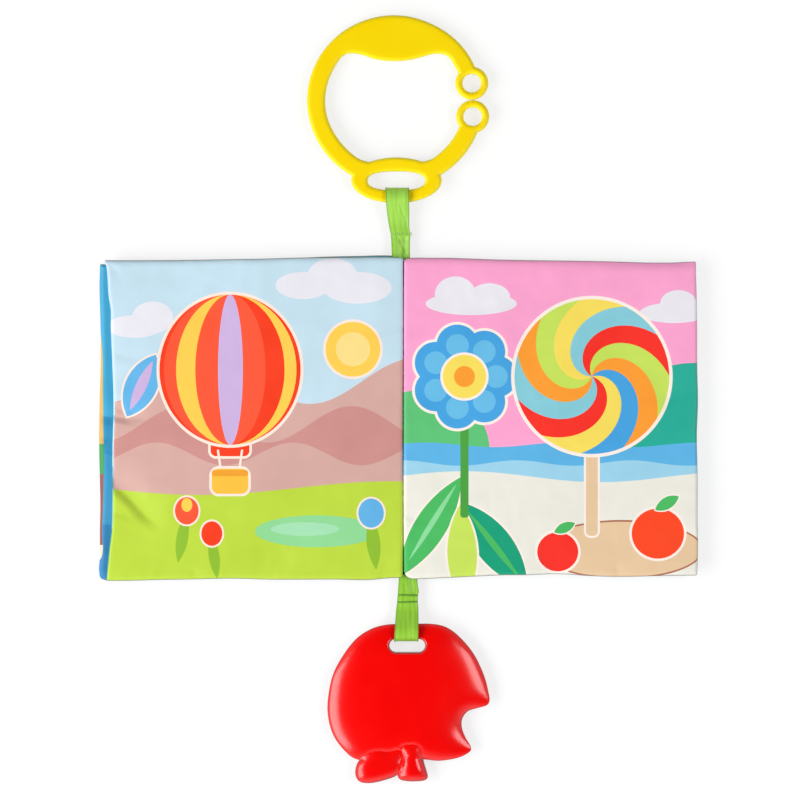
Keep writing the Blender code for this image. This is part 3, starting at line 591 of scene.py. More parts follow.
# For each leaf: the height of its middle, its seed, the pitch of its grid, how far its seam stands out at the gutter
# and at the outer edge as a share, its upper and lower cloth and its slot. Then its edges as seen from above, how far
# it rolls over at each edge, how round each corner is, how far the lower cloth comes over the outer edge onto the
# face, and its creases. A crease is a line, its depth, the width of its steep side, which is to its left (1) or
# right (-1), and that of its other side.
leafPieces = {
    "left_page": {
        "middle": 5.7, "seed": 3, "pitch": 1.0, "flanges": (0, 0),
        "cloths": ("leftPrint", "underPrint"), "slot": "left_page_print",
        "gutter": [(-71, -0.15), (-60, -0.05), (0, -0.12), (60, 0.05), (71, 0.0)],
        "outer": [(-71.5, -130.5), (-65, -130.0), (-58, -129.3), (-49, -128.2), (-36, -127.8), (-23, -127.8),
                  (-10, -127.7), (3, -127.3), (25, -127.9), (40, -128.5), (48, -128.6), (53, -129.4), (62, -130.0),
                  (66, -130.4), (69.4, -131.4)],
        "top": [(-131, 68.9), (-120, 68.9), (-100, 69.0), (-80, 69.3), (-60, 69.65), (-45, 70.1), (-25, 70.25),
                (-12, 70.4), (-4, 70.35), (0.1, 70.1)],
        "bottom": [(-131, -71.6), (-123, -71.6), (-108, -71.2), (-90, -70.9), (-76, -70.6), (-60, -71.0),
                   (-30, -71.0), (-13, -71.1), (-7, -70.5), (-0.5, -70.2)],
        "roll": {"gutter": 1.7, "outer": 1.5, "top": 2.6, "bottom": 2.0},
        "corners": {"gutterTop": 0.9, "gutterBottom": 1.3, "outerTop": 0.5, "outerBottom": 0.5},
        "rollOver": [(-72, 0.40), (-60, 0.55), (-50, 0.45), (-35, 0.30), (-20, 0.50), (0, 0.62), (8, 0.55),
                     (16, 0.30), (28, 0.0), (70, 0.0)],
        "creases": [
            ([(-130.5, -30.2), (-125.6, -31.6), (-122.3, -34.6), (-119.4, -37.4), (-116.2, -41.0), (-113.4, -43.6),
              (-110.0, -46.4), (-105.0, -48.6)], 2.2, 3.3, -1, 8.0),
            ([(-130.5, -42.6), (-125.0, -42.6), (-121.5, -43.8), (-116.0, -44.8)], 0.40, 1.8, -1, 5.0),
            ([(-130.5, -0.1), (-126.0, -0.4), (-121.5, -0.9), (-117.0, -0.6), (-111.0, -0.9)], 1.3, 2.2, -1, 6.0),
            ([(-129.0, 0.4), (-125.4, -0.6), (-121.6, -1.4), (-118.0, -1.6)], 0.95, 1.1, -1, 1.0),
            ([(-126.6, 4.6), (-123.8, 2.4), (-121.6, 3.4)], 0.35, 0.8, -1, 1.6),
            ([(-93.2, -72.0), (-92.4, -68.6), (-91.0, -65.8)], 0.42, 1.4, 1, 3.0),
            ([(-131.8, 69.6), (-127.4, 66.0), (-122.5, 61.5)], 0.40, 1.8, 1, 4.0),
            ([(-10.0, -72.0), (-9.2, -67.5), (-6.0, -60.5)], 0.34, 2.0, 1, 5.0),
            ([(-58.0, -72.0), (-55.0, -64.0), (-46.0, -58.0)], 0.36, 3.0, -1, 9.0),
            ([(-131.0, 30.0), (-122.0, 26.0), (-108.0, 27.0)], 0.34, 2.6, -1, 8.0),
            ([(0.0, 40.0), (-9.0, 36.5), (-22.0, 38.0)], 0.34, 2.8, 1, 9.0),
            ([(-70.0, 70.0), (-74.0, 60.0), (-84.0, 52.0)], 0.30, 3.0, 1, 9.0),
        ],
    },
    "left_cover": {
        "middle": 1.8, "seed": 8, "pitch": 1.6, "flanges": (0, 0),
        "cloths": ("liningPrint", "coverPrint"), "slot": "lining_print",
        "gutter": [(-70, -1.3), (0, -1.3), (70, -1.3)],
        "outer": [(-71, -133.6), (-67, -134.0), (-62, -133.7), (-50, -133.6), (-38, -133.4), (-28, -133.6),
                  (-16, -133.9), (-4, -133.9), (8, -133.7), (20, -133.3), (34, -133.2), (46, -133.5), (58, -133.8),
                  (66, -133.6)],
        "top": [(-134, 67.5), (-131, 67.2), (-122, 68.1), (-110, 68.4), (-80, 68.8), (-50, 69.8), (-38, 70.5),
                (-20, 70.95), (-5, 71.1), (-1.3, 70.8)],
        "bottom": [(-134, -70.4), (-131, -71.6), (-128, -71.8), (-120, -71.2), (-100, -70.6), (-76, -70.2),
                   (-40, -70.4), (-13, -70.3), (-1.3, -69.6)],
        "roll": {"gutter": 1.8, "outer": 2.6, "top": 1.6, "bottom": 1.6},
        "corners": {"gutterTop": 1.5, "gutterBottom": 1.5, "outerTop": 0.7, "outerBottom": 0.8},
        "rollOver": [(-71, 0.0), (-63.5, 0.0), (-60, 1.1), (-57, 1.4), (-52, 1.1), (-40, 1.2), (-28, 1.7), (-17, 2.2),
                     (-6, 1.9), (4, 1.7), (16, 1.2), (30, 0.7), (38, 0.0), (68, 0.0)],
        "creases": [
            ([(-135.0, -0.4), (-131.5, -1.0), (-128.0, -1.2), (-120.0, -1.0)], 1.2, 1.8, -1, 3.0),
            ([(-135.0, -9.0), (-131.0, -10.5), (-128.0, -9.5), (-124.0, -8.0)], 0.7, 2.0, -1, 4.0),
            ([(-135.0, 20.0), (-131.0, 19.0), (-126.0, 20.5)], 0.5, 2.2, 1, 5.0),
            ([(-135.0, -40.5), (-131.0, -41.5), (-126.0, -40.5)], 0.5, 2.2, 1, 5.0),
        ],
    },
    "right_page": {
        "middle": 5.7, "seed": 5, "pitch": 1.0, "flanges": (0, 0.6),
        "cloths": ("rightPrint", "underPrint"), "slot": "right_page_print",
        "gutter": [(-71, 0.50), (-60, 0.32), (0, 0.22), (60, 0.42), (71, 0.48)],
        "outer": [(-69, 129.3), (-60, 129.6), (-45, 129.4), (-25, 129.4), (-8, 129.1), (8, 129.6), (20, 129.3),
                  (42, 129.2), (58, 128.9), (66, 128.7), (69, 128.7)],
        "top": [(0.8, 69.8), (4, 70.0), (12, 70.0), (20, 69.95), (28, 69.7), (36, 69.4), (52, 69.0), (75, 68.7),
                (91, 68.4), (107, 67.9), (119, 67.9), (129, 68.4)],
        "bottom": [(0.6, -70.4), (4, -70.8), (9, -70.7), (17, -70.4), (25, -70.0), (33, -69.6), (41, -69.2),
                   (57, -69.0), (65, -68.6), (73, -68.8), (81, -69.4), (96, -69.8), (112, -69.5), (129, -69.2)],
        "roll": {"gutter": 1.8, "outer": 1.3, "top": 3.0, "bottom": 2.0},
        "corners": {"gutterTop": 1.8, "gutterBottom": 3.4, "outerTop": 0.5, "outerBottom": 0.8},
        "creases": [
            ([(129.5, 69.2), (112.0, 68.6), (94.0, 69.0), (60.0, 69.6)], 1.15, 4.6, 1, 6.0),
            ([(129.5, 69.4), (126.2, 66.6), (121.0, 63.6)], 0.40, 1.4, 1, 3.0),
            ([(94.2, -71.0), (94.0, -67.2), (93.0, -64.6)], 0.45, 1.4, 1, 2.0),
            ([(130.5, -52.5), (124.0, -50.0), (112.0, -49.5)], 0.40, 3.0, -1, 8.0),
            ([(66.0, -70.0), (63.0, -62.5), (55.0, -55.5)], 0.40, 2.8, 1, 9.0),
            ([(0.5, -43.0), (7.0, -46.0), (17.0, -46.0)], 0.36, 2.4, -1, 8.0),
            ([(61.0, 70.0), (57.0, 62.5), (46.0, 56.5)], 0.36, 3.0, -1, 9.0),
            ([(130.0, 12.0), (120.0, 8.0), (106.0, 9.0)], 0.30, 3.0, 1, 9.0),
            ([(0.5, 30.0), (9.0, 33.0), (20.0, 31.5)], 0.32, 2.6, 1, 8.0),
        ],
    },
    "right_cover": {
        "middle": 1.8, "seed": 11, "pitch": 2.4, "flanges": (0, 1),
        "cloths": ("liningPrint", "coverPrint"), "slot": "lining_print",
        "gutter": [(-70, 1.3), (0, 1.3), (70, 1.3)],
        "outer": [(-69, 128.6), (-45, 128.9), (-8, 128.6), (20, 128.8), (58, 128.4), (69, 128.1)],
        "top": [(1.3, 69.4), (12, 69.6), (28, 69.3), (52, 68.6), (75, 68.3), (107, 67.8), (129, 68.3)],
        "bottom": [(1.3, -69.6), (9, -70.1), (25, -69.6), (41, -68.9), (57, -68.6), (65, -68.2), (81, -69.0),
                   (112, -69.1), (129, -68.8)],
        "roll": {"gutter": 1.8, "outer": 1.6, "top": 1.6, "bottom": 1.6},
        "corners": {"gutterTop": 1.5, "gutterBottom": 1.5, "outerTop": 1.0, "outerBottom": 1.0},
        "creases": [],
    },
}


creaseForm = {
    "bank": (0.8, 0.5),   # how wide the steep side is where the line starts, and how much wider where it ends
    "steep": 1.6,
    "fade": 3.0,          # it fades out over the last third of its line
    "shallower": 0.25,    # and is this much shallower there
}


# Depth of the creases at each point: each falls to its line in a steep bank and rises slowly beyond it
def creaseDepth(x, y, creases):
    depth = np.zeros_like(x)
    narrow, wider = creaseForm["bank"]
    for line, deep, bank, side, beyond in creases:
        line = np.array(line, float)
        nearest, travel, lean = np.full_like(x, 1e9), np.zeros_like(x), np.zeros_like(x)
        for k in range(len(line) - 1):
            a, run = line[k], line[k + 1] - line[k]
            along = np.clip(((x - a[0]) * run[0] + (y - a[1]) * run[1]) / (run @ run), 0, 1)
            px, py = x - a[0] - along * run[0], y - a[1] - along * run[1]
            away = np.hypot(px, py)
            closer = away < nearest
            nearest = np.where(closer, away, nearest)
            travel = np.where(closer, (k + along) / (len(line) - 1), travel)
            lean = np.where(closer, run[0] * py - run[1] * px, lean)
        fall = np.clip(1 - nearest / (bank * (narrow + wider * travel)), 0, 1) ** creaseForm["steep"]
        shape = np.where(lean * side > 0, fall, np.exp(-(nearest / beyond) ** 2))
        fade = np.clip((1 - travel) * creaseForm["fade"], 0, 1)
        depth += deep * shape * fade * (1 - creaseForm["shallower"] * travel)
    return depth


# Distances in from one edge of the grid lines over a rolled rim. Where the other cloth rolls over onto the upper
# face, a line follows its edge.
def rimLines(roll, overlap=None):
    count, over = leafForm["rimLines"], leafForm["overlapLines"]
    if overlap is None:
        return roll * (1 - np.cos(np.linspace(0, math.pi / 2, count + 1)))[:-1]
    overlap = np.maximum(overlap, leafForm["leastOverlap"] / 2)
    lines = [overlap * k / over for k in range(over + 1)]
    return np.array(lines + [overlap + (roll - overlap) * (k - over) / (count - over) for k in range(over + 1, count)])


# One padded leaf: two cloths sewn at the rim, rolled over at every edge, with dips, puckers and creases
def makeLeaf(name, leaf):
    side = 1 if leaf["outer"][0][1] > 0 else -1
    width = abs(np.mean([x for _, x in leaf["outer"]]) - leaf["gutter"][0][1])
    height = leaf["top"][0][1] - leaf["bottom"][0][1]
    roll, corners = leaf["roll"], leaf["corners"]
    inner = [np.linspace(roll[near], size - roll[far], round((size - roll[near] - roll[far]) / leaf["pitch"]) + 1)
             for near, far, size in (("gutter", "outer", width), ("bottom", "top", height))]
    v = np.concatenate((rimLines(roll["bottom"]), inner[1], height - rimLines(roll["top"])[::-1]))
    u = np.concatenate((rimLines(roll["gutter"]), inner[0], width - rimLines(roll["outer"])[::-1]))
    u, v = np.meshgrid(u, v, indexing="ij")
    startY = leaf["bottom"][0][1]
    overlap = through(leaf["rollOver"], startY + v[0]) if "rollOver" in leaf else None
    if overlap is not None:
        u[-leafForm["rimLines"]:] = width - rimLines(roll["outer"], overlap)[::-1]
    reach = [np.clip(1 - u / roll["gutter"], 0, 1), np.clip(1 - (width - u) / roll["outer"], 0, 1),
             np.clip(1 - v / roll["bottom"], 0, 1), np.clip(1 - (height - v) / roll["top"], 0, 1)]
    fall = np.sqrt(np.clip(1 - np.maximum.reduce(reach) ** 2, 0, 1))

    # Corners are drawn from square to round
    fromSide, fromEnd = np.minimum(u, width - u), np.minimum(v, height - v)
    radius = np.where(u < width / 2, np.where(v < height / 2, corners["gutterBottom"], corners["gutterTop"]),
                      np.where(v < height / 2, corners["outerBottom"], corners["outerTop"]))
    a, b = np.clip(radius - fromSide, 0, None), np.clip(radius - fromEnd, 0, None)
    pull = np.where((a > 0) & (b > 0), np.maximum(a, b) / np.maximum(np.hypot(a, b), 1e-9), 1)
    fromSide, fromEnd = np.where(a > 0, radius - a * pull, fromSide), np.where(b > 0, radius - b * pull, fromEnd)
    s = np.where(u < width / 2, fromSide, width - fromSide) / width
    t = np.where(v < height / 2, fromEnd, height - fromEnd) / height
    flatY = startY + t * height
    inside = through(leaf["gutter"], flatY)
    x = inside + s * (through(leaf["outer"], flatY) - inside)
    low, high = through(leaf["bottom"], x), through(leaf["top"], x)
    y = low + t * (high - low)

    edge = np.minimum(np.minimum(u, width - u), np.minimum(v, height - v))
    along = np.where(np.minimum(u, width - u) < np.minimum(v, height - v), v, u)
    drift = leafForm["puckerDrift"] * swells(x, y, leaf["seed"] + 40, *leafForm["driftWaves"])
    pucker = 0.5 + 0.5 * np.sin(2 * math.pi * along / leafForm["puckerPitch"] + drift)
    pucker *= np.exp(-edge / leafForm["puckerReach"]) * np.clip(edge, 0, 1) * leafForm["pucker"]
    level, swing, top = leafForm["broadShare"]

    # Upper and lower face, and the line of the seam between them
    skins = []
    for facing in (1, -1):
        broad = level + swing * swells(x, y, leaf["seed"] + facing, *leafForm["broadWaves"])
        rustle = np.abs(swells(x, y, leaf["seed"] + 20 + facing, *leafForm["rustleWaves"]))
        dip = leafForm["broadDip"] * np.clip(broad, 0, top) + leafForm["rustleDip"] * rustle + pucker
        if facing > 0:
            dip += creaseDepth(x, y, leaf["creases"])
        full = leafForm["half"] - np.clip(dip, 0, leafForm["deepest"])
        z = leaf["middle"] + facing * (leafForm["rim"] + (full - leafForm["rim"]) * fall)
        skins.append(np.stack((x, y, z), -1).reshape(-1, 3))
    rows, columns = u.shape
    rim = [i * columns for i in range(rows)] + [(rows - 1) * columns + j for j in range(1, columns)]
    rim += [i * columns + columns - 1 for i in range(rows - 2, -1, -1)] + list(range(columns - 2, 0, -1))
    seam = skins[0][rim].copy()
    seam[:, 2] = leaf["middle"]
    atRow, atColumn = np.array(rim) // columns, np.array(rim) % columns
    share = leaf["flanges"][1] * (atRow == rows - 1) - leaf["flanges"][0] * (atRow == 0)
    seam[:, 0] += side * leafForm["flange"] * share
    seam[:, 1] += leafForm["flange"] * (1.0 * (atColumn == columns - 1) - (atColumn == 0))

    # Each face's cloth: 0 the upper one, 1 the lower one, 2 the turned edge in the seam, in grey that is painted shade
    count = rows * columns
    faces, finish = [], []
    for i in range(rows - 1):
        turned = overlap is not None and i >= rows - 1 - leafForm["overlapLines"]
        for j in range(columns - 1):
            faces += cellFaces(i, j, columns, count)
            finish += [int(turned and overlap[j] > leafForm["leastOverlap"]), 1]
    for k in range(len(rim)):
        m = (k + 1) % len(rim)
        mid, midNext = 2 * count + k, 2 * count + m
        faces += [(rim[m], rim[k], mid, midNext), (midNext, mid, count + rim[k], count + rim[m])]
        finish += [1, 1] if overlap is not None and atRow[k] == atRow[m] == rows - 1 else [2, 2]
    cloths = [prints[cloth] for cloth in (*leaf["cloths"], "seamShadeEdge")]
    piece = addPiece(name + "_padded_leaf", np.concatenate((*skins, seam)), faces, cloths, finish)
    turnFacesOut(piece)
    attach(piece, name)
    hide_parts(*[name + part for part in ("_lower_cloth", "_upper_cloth", "_wadding", "_crinkle_film")])
    return piece


leaves = {name: makeLeaf(name, leaf) for name, leaf in leafPieces.items()}
print("leaves made:", {name: len(piece.data.vertices) for name, piece in leaves.items()})


# A closed strip between two skins of the same rows, with its texture coordinates across and along it
def addStrip(name, outer, inner, across, along, material):
    rows, columns = outer.shape[:2]
    points = np.concatenate((outer.reshape(-1, 3), inner.reshape(-1, 3)))
    count = rows * columns
    faces = []
    for i in range(rows - 1):
        for j in range(columns - 1):
            faces += cellFaces(i, j, columns, count)
        for j in (0, columns - 1):
            a, b = i * columns + j, (i + 1) * columns + j
            faces.append((a, b, count + b, count + a))
    for i in (0, rows - 1):
        for j in range(columns - 1):
            a, b = i * columns + j, i * columns + j + 1
            faces.append((a, b, count + b, count + a))
    piece = addPiece(name, points, faces, [material])
    turnFacesOut(piece)
    uv = piece.data.uv_layers.new(name="UVMap")
    spots = [(across[j], along[i]) for i in range(rows) for j in range(columns)] * 2
    for corner in piece.data.loops:
        uv.data[corner.index].uv = spots[corner.vertex_index]
    return piece


# A round thread swept along a line of points. None of its lines runs along the upright.
def addThread(name, line, radius, material, sides=8, upright=(0.13, 0.09, 1.0)):
    line = np.array(line, float)
    heading = np.gradient(line, axis=0)
    heading /= np.linalg.norm(heading, axis=1)[:, None]
    side = np.cross(heading, upright)
    side /= np.linalg.norm(side, axis=1)[:, None]
    up = np.cross(side, heading)
    points, faces = [], []
    for k, spot in enumerate(line):
        for m in range(sides):
            turn = 2 * math.pi * m / sides
            points.append(spot + radius * (math.cos(turn) * side[k] + math.sin(turn) * up[k]))
    for k in range(len(line) - 1):
        for m in range(sides):
            n = (m + 1) % sides
            faces.append((k * sides + m, k * sides + n, (k + 1) * sides + n, (k + 1) * sides + m))
    faces += [tuple(range(sides))[::-1], tuple((len(line) - 1) * sides + m for m in range(sides))]
    piece = addPiece(name, points, faces, [material])
    turnFacesOut(piece)
    return piece


# Ripples and waves are each a height, a rate along the spine and a start
spine = {
    "half": 69.2,
    "rows": 61,
    "outer": {"half": 1.5, "columns": (-1.0, -0.85, -0.3, 0.3, 0.85, 1.0), "top": 0.5, "low": 0.02, "arch": 0.06,
              "ripples": ((0.03, 0.9, 0), (0.02, 2.3, 1))},
    "bundle": {"half": 0.30, "foot": 0.9, "low": 0.6, "step": 2.9, "neck": 0.5, "top": 3.5,
               "waves": ((0.05, 0.7, 0), (0.04, 1.9, 2)), "coreWidth": 0.4, "coreDepth": 0.3},
    "stitch": {"pitch": 5.0, "radius": 0.15, "rise": 0.16, "sunk": 0.05, "shown": 0.6, "stray": 0.02},
    "webs": [
        # Which body the web leaves, which it joins, its cloth, and its line in x and z on the right-hand side
        {"from": "spine", "to": "cover", "cloth": "cover",
         "line": ((0.75, 0.25), (1.05, 0.25), (1.6, 0.9), (2.1, 1.5))},
        {"from": "cover", "to": "page", "cloth": "lining",
         "line": ((1.7, 1.9), (1.25, 2.7), (0.95, 4.2), (1.5, 5.5))},
    ],
    "webSteps": 28,
    "webBend": (5, -6),   # the steps at which its bend starts and ends
    "webHalf": 0.16,
    "webLength": 0.985,   # as a share of the spine's
}


# The sum of some waves along the spine
def ripples(at, waves):
    return sum(height * np.sin(rate * at + start) for height, rate, start in waves)


# The spine: outer cloth, sewn bundle, running stitch and the four webs on which the leaves turn
def makeSpine():
    half = spine["half"]
    ys = np.linspace(-half, half, spine["rows"])

    # Outer cloth, from cover to cover under the gutter
    outer = spine["outer"]
    shares = np.array(outer["columns"])
    x, y = np.meshgrid(shares * outer["half"], ys)
    top = np.stack((x, y, outer["top"] - outer["arch"] * shares ** 2 + ripples(y, outer["ripples"])), -1)
    low = top.copy()
    low[:, :, 2] = outer["low"]
    cloth = addStrip("spine_outer_strip", top, low, x[0] * mm, ys * mm, prints["coverPrint"])
    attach(cloth, "spine")
    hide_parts("spine_outer_cloth")

    # The leaves' sewn edges, stacked in the gutter: wide below, narrow between the pages, and painted dark green as
    # shade
    bundle = spine["bundle"]
    profile = [(bundle["foot"], bundle["low"]), (bundle["foot"], bundle["step"]),
               (bundle["half"], bundle["step"] + bundle["neck"]), (bundle["half"], bundle["top"])]
    sides = [(-x, z) for x, z in profile] + profile[::-1]
    rows = np.array([[(x + wave * (z > bundle["step"]), y, z) for x, z in sides]
                     for y, wave in zip(ys, ripples(ys, bundle["waves"]))])
    core = rows.copy()
    core[:, :, 0] *= bundle["coreWidth"]
    core[:, :, 2] = np.clip(core[:, :, 2] - bundle["coreDepth"], bundle["low"], None)
    edges = addStrip("spine_sewn_edges", rows, core, np.linspace(0, 1, len(sides)), ys * mm, prints["gutterShadeEdge"])
    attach(edges, "spine")
    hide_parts("spine_sewn_seam")

    # One row of running stitches down the bundle
    stitch = spine["stitch"]
    count = int(2 * half / stitch["pitch"])
    reach = stitch["pitch"] * stitch["shown"] / 2
    threads = []
    for k in range(count):
        start = -half + (k + 0.5) * 2 * half / count
        line = [(stitch["stray"] * math.sin(5 * k), start + reach * s,
                 bundle["top"] + stitch["rise"] * math.cos(s * math.pi / 2) - stitch["sunk"])
                for s in np.linspace(-1, 1, 9)]
        threads.append(addThread("stitch", line, stitch["radius"], threadWhite))
    bpy.ops.object.select_all(action="DESELECT")
    for one in threads:
        one.select_set(True)
    bpy.context.view_layer.objects.active = threads[0]
    bpy.ops.object.join()
    threads[0].name = "spine_running_stitch"
    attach(threads[0], "spine")
    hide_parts("spine_stitching")

    # Webs of cloth that join each leaf to the spine
    steps = np.linspace(0, 1, spine["webSteps"])
    for word, side in (("left", -1), ("right", 1)):
        for web in spine["webs"]:
            bodies = ["spine" if web[end] == "spine" else word + "_" + web[end] for end in ("from", "to")]
            line = np.array(web["line"])
            knots = np.linspace(0, 1, len(line))
            x, z = (through(np.stack((knots, line[:, k]), 1), steps) for k in (0, 1))
            run = np.stack((np.gradient(x), np.gradient(z)), 1)
            run /= np.linalg.norm(run, axis=1)[:, None]
            skins = []
            for way in (spine["webHalf"], -spine["webHalf"]):
                spots = np.stack((side * (x - way * run[:, 1]), 0 * x, z + way * run[:, 0]), 1)
                skins.append(spots + np.array([(0, y, 0) for y in ys * spine["webLength"]])[:, None])
            piece = addStrip(bodies[1] + "_hinge_web", *skins, x * mm, ys * mm, prints[web["cloth"] + "Print"])
            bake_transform(piece)


makeSpine()
print("spine made")


# For each tape: its way along y, its level where it is doubled, where it starts and where its plies part, the middle
# of the bar (away, up) and the radius of its bend round it. Then its edges, its creases, its bar tacks, the body that
# carries its free loop with the start and end of its fold, the nodes it replaces, what it rests on, and its seed. A
# crease is its two ends, its width and its depth.
tapes = {
    "upper": {
        "direction": 1, "level": 3.75, "start": 69.4, "split": 84.2, "bar": (96.9, 4.4), "radius": 4.1,
        "left": [(69.4, -4.9), (76, -5.1), (80, -5.35), (84, -6.1), (90, -7.0), (97, -7.6), (101.5, -7.75)],
        "right": [(69.4, 3.1), (76, 3.0), (79, 3.15), (80.5, 3.3), (82, 3.0), (90, 2.75), (97, 2.65), (101.5, 2.65)],
        "creases": [
            ((0.1, 69.4), (0.9, 79.3), 0.85, 1.0), ((-2.6, 70.0), (-0.4, 79.0), 0.7, 0.42),
            ((1.8, 71.0), (-1.6, 78.6), 0.5, 0.30), ((-4.2, 76.0), (-1.6, 79.2), 0.6, 0.30),
            ((-1.4, 94.0), (2.5, 82.4), 0.35, 0.22), ((-1.0, 94.5), (0.8, 84.0), 0.4, -0.08),
            ((-4.9, 79.6), (-1.0, 77.8), 0.5, 0.10),
        ],
        "bars": (80.8,),
        "blend": ("upper_tape", 79.2, 81.2),
        "nodes": ("upper_tape_tail", "upper_tape_loop"), "rests": "clip_ring", "seed": 21,
    },
    "lower": {
        "direction": -1, "level": 3.75, "start": 69.0, "split": 83.0, "bar": (94.2, 4.45), "radius": 4.14,
        "left": [(69.0, -1.7), (76, -2.2), (82.5, -2.75), (85, -3.05), (92, -3.5), (99, -3.96)],
        "right": [(69.0, 6.3), (74, 6.5), (76.6, 6.95), (78.4, 6.6), (85, 6.78), (99, 6.75)],
        "creases": [
            ((3.2, 69.0), (4.4, 77.5), 0.6, 0.34), ((0.6, 70.0), (2.6, 76.5), 0.6, -0.14),
            ((3.3, 82.5), (3.0, 99.0), 0.25, -0.10), ((3.8, 82.5), (3.6, 99.0), 0.3, 0.12),
            ((-1.2, 83.5), (-0.9, 95.0), 0.8, 0.06),
        ],
        "bars": (78.2, 81.2),
        "blend": ("lower_tape", 74.9, 76.9),
        "nodes": ("lower_tape_tail", "lower_tape_loop"), "rests": "apple_teether", "seed": 31,
    },
}

tapeForm = {
    "half": 0.18,        # half its thickness
    "ply": 0.2,          # how far each ply lies off the middle where the tape is doubled
    "step": 0.45,
    "samples": (40, 20, 70),    # points of a ply where it lies flat, where it leads to the bend, and of the bend
    "columns": (0, 0.025, 0.06, *np.linspace(0.11, 0.89, 21), 0.94, 0.975, 1.0),
    "meets": 112,        # where a ply meets its bend, from the bar's far side
    "pull": 0.9,         # how stiffly it runs there
    "waves": (4, 14),    # the shortest and the longest of its small waves
    "waveDip": 0.03,
    "creaseFade": (0.06, 12),   # how far past its ends a crease runs, as a share, and how fast it fades
    "upperFrom": 0.3,    # it counts as the upper ply where it faces up more than this
    "underShare": 0.25,  # how much of the creases the rest shows
    "lapPast": 0.1,      # how far past the parting the plies still move as one
    "ear": 0.28,         # how far its edges stand out round the bar
    "earPowers": (4, 8),        # how close to the bend's far side, and to the edges, they do
    "curl": 0.10,        # how far its edges curl down
    "curlPower": 4,
    "barWidth": 0.42, "barDepth": 0.16, "thinnest": 0.2,
    "barReach": {"upper": 1.3, "lower": 0.75}, "barPitch": {"upper": 0.85, "lower": 0.42},
    "barMargins": (0.5, 0.3), "barLean": 0.15,
    "thread": 0.17,
    "threadLevels": (0.08, 0.14, 0.1),   # at its turns, between them and in its tail
    "tail": ((0.35, 0.1), (0.75, -0.3), (0.9, -0.9), (0.85, -1.5)),
}


# The middle line of a doubled tape: out on the lower ply, round the bar, and back on the upper ply
def tapeLine(t):
    (away, rise), radius = t["bar"], t["radius"]
    meets = math.radians(tapeForm["meets"])
    line = []
    flatCount, leadCount, bendCount = tapeForm["samples"]
    for ply in (-1, 1):
        z = t["level"] + ply * tapeForm["ply"]
        straight = [(p, z) for p in np.linspace(t["start"], t["split"], flatCount)[:-1]]
        angle = ply * meets
        touch = (away + radius * math.cos(angle), rise + radius * math.sin(angle))
        pull = tapeForm["pull"] * (touch[0] - t["split"])
        heading = (abs(math.sin(angle)), ply * abs(math.cos(angle)))
        lead = []
        for s in np.linspace(0, 1, leadCount)[:-1]:
            a, b, c, d = 2 * s ** 3 - 3 * s ** 2 + 1, s ** 3 - 2 * s ** 2 + s, 3 * s ** 2 - 2 * s ** 3, s ** 3 - s ** 2
            lead.append((a * t["split"] + b * pull + c * touch[0] + d * pull * heading[0],
                         a * z + c * touch[1] + d * pull * heading[1]))
        half = straight + lead
        line.append(half if ply < 0 else half[::-1])
    turn = np.linspace(-meets, meets, bendCount)
    arc = [(away + radius * math.cos(a), rise + radius * math.sin(a)) for a in turn]
    spots, at = evenSteps(np.array(line[0] + arc + line[1]), tapeForm["step"])
    return spots[:, 0].copy(), spots[:, 1].copy(), at


# How far the tape's face is pressed in at a place by its creases and small waves
def tapeRelief(t, x, p):
    dent = tapeForm["waveDip"] * swells(x, p, t["seed"], *tapeForm["waves"])
    past, rate = tapeForm["creaseFade"]
    for start, end, width, deep in t["creases"]:
        a, run = np.array(start), np.subtract(end, start)
        along = ((x - a[0]) * run[0] + (p - a[1]) * run[1]) / (run @ run)
        away = np.hypot(x - a[0] - along * run[0], p - a[1] - along * run[1])
        fade = np.clip(np.minimum(along + past, 1 + past - along) * rate, 0, 1)
        dent += deep * np.exp(-(away / width) ** 2) * fade
    return dent


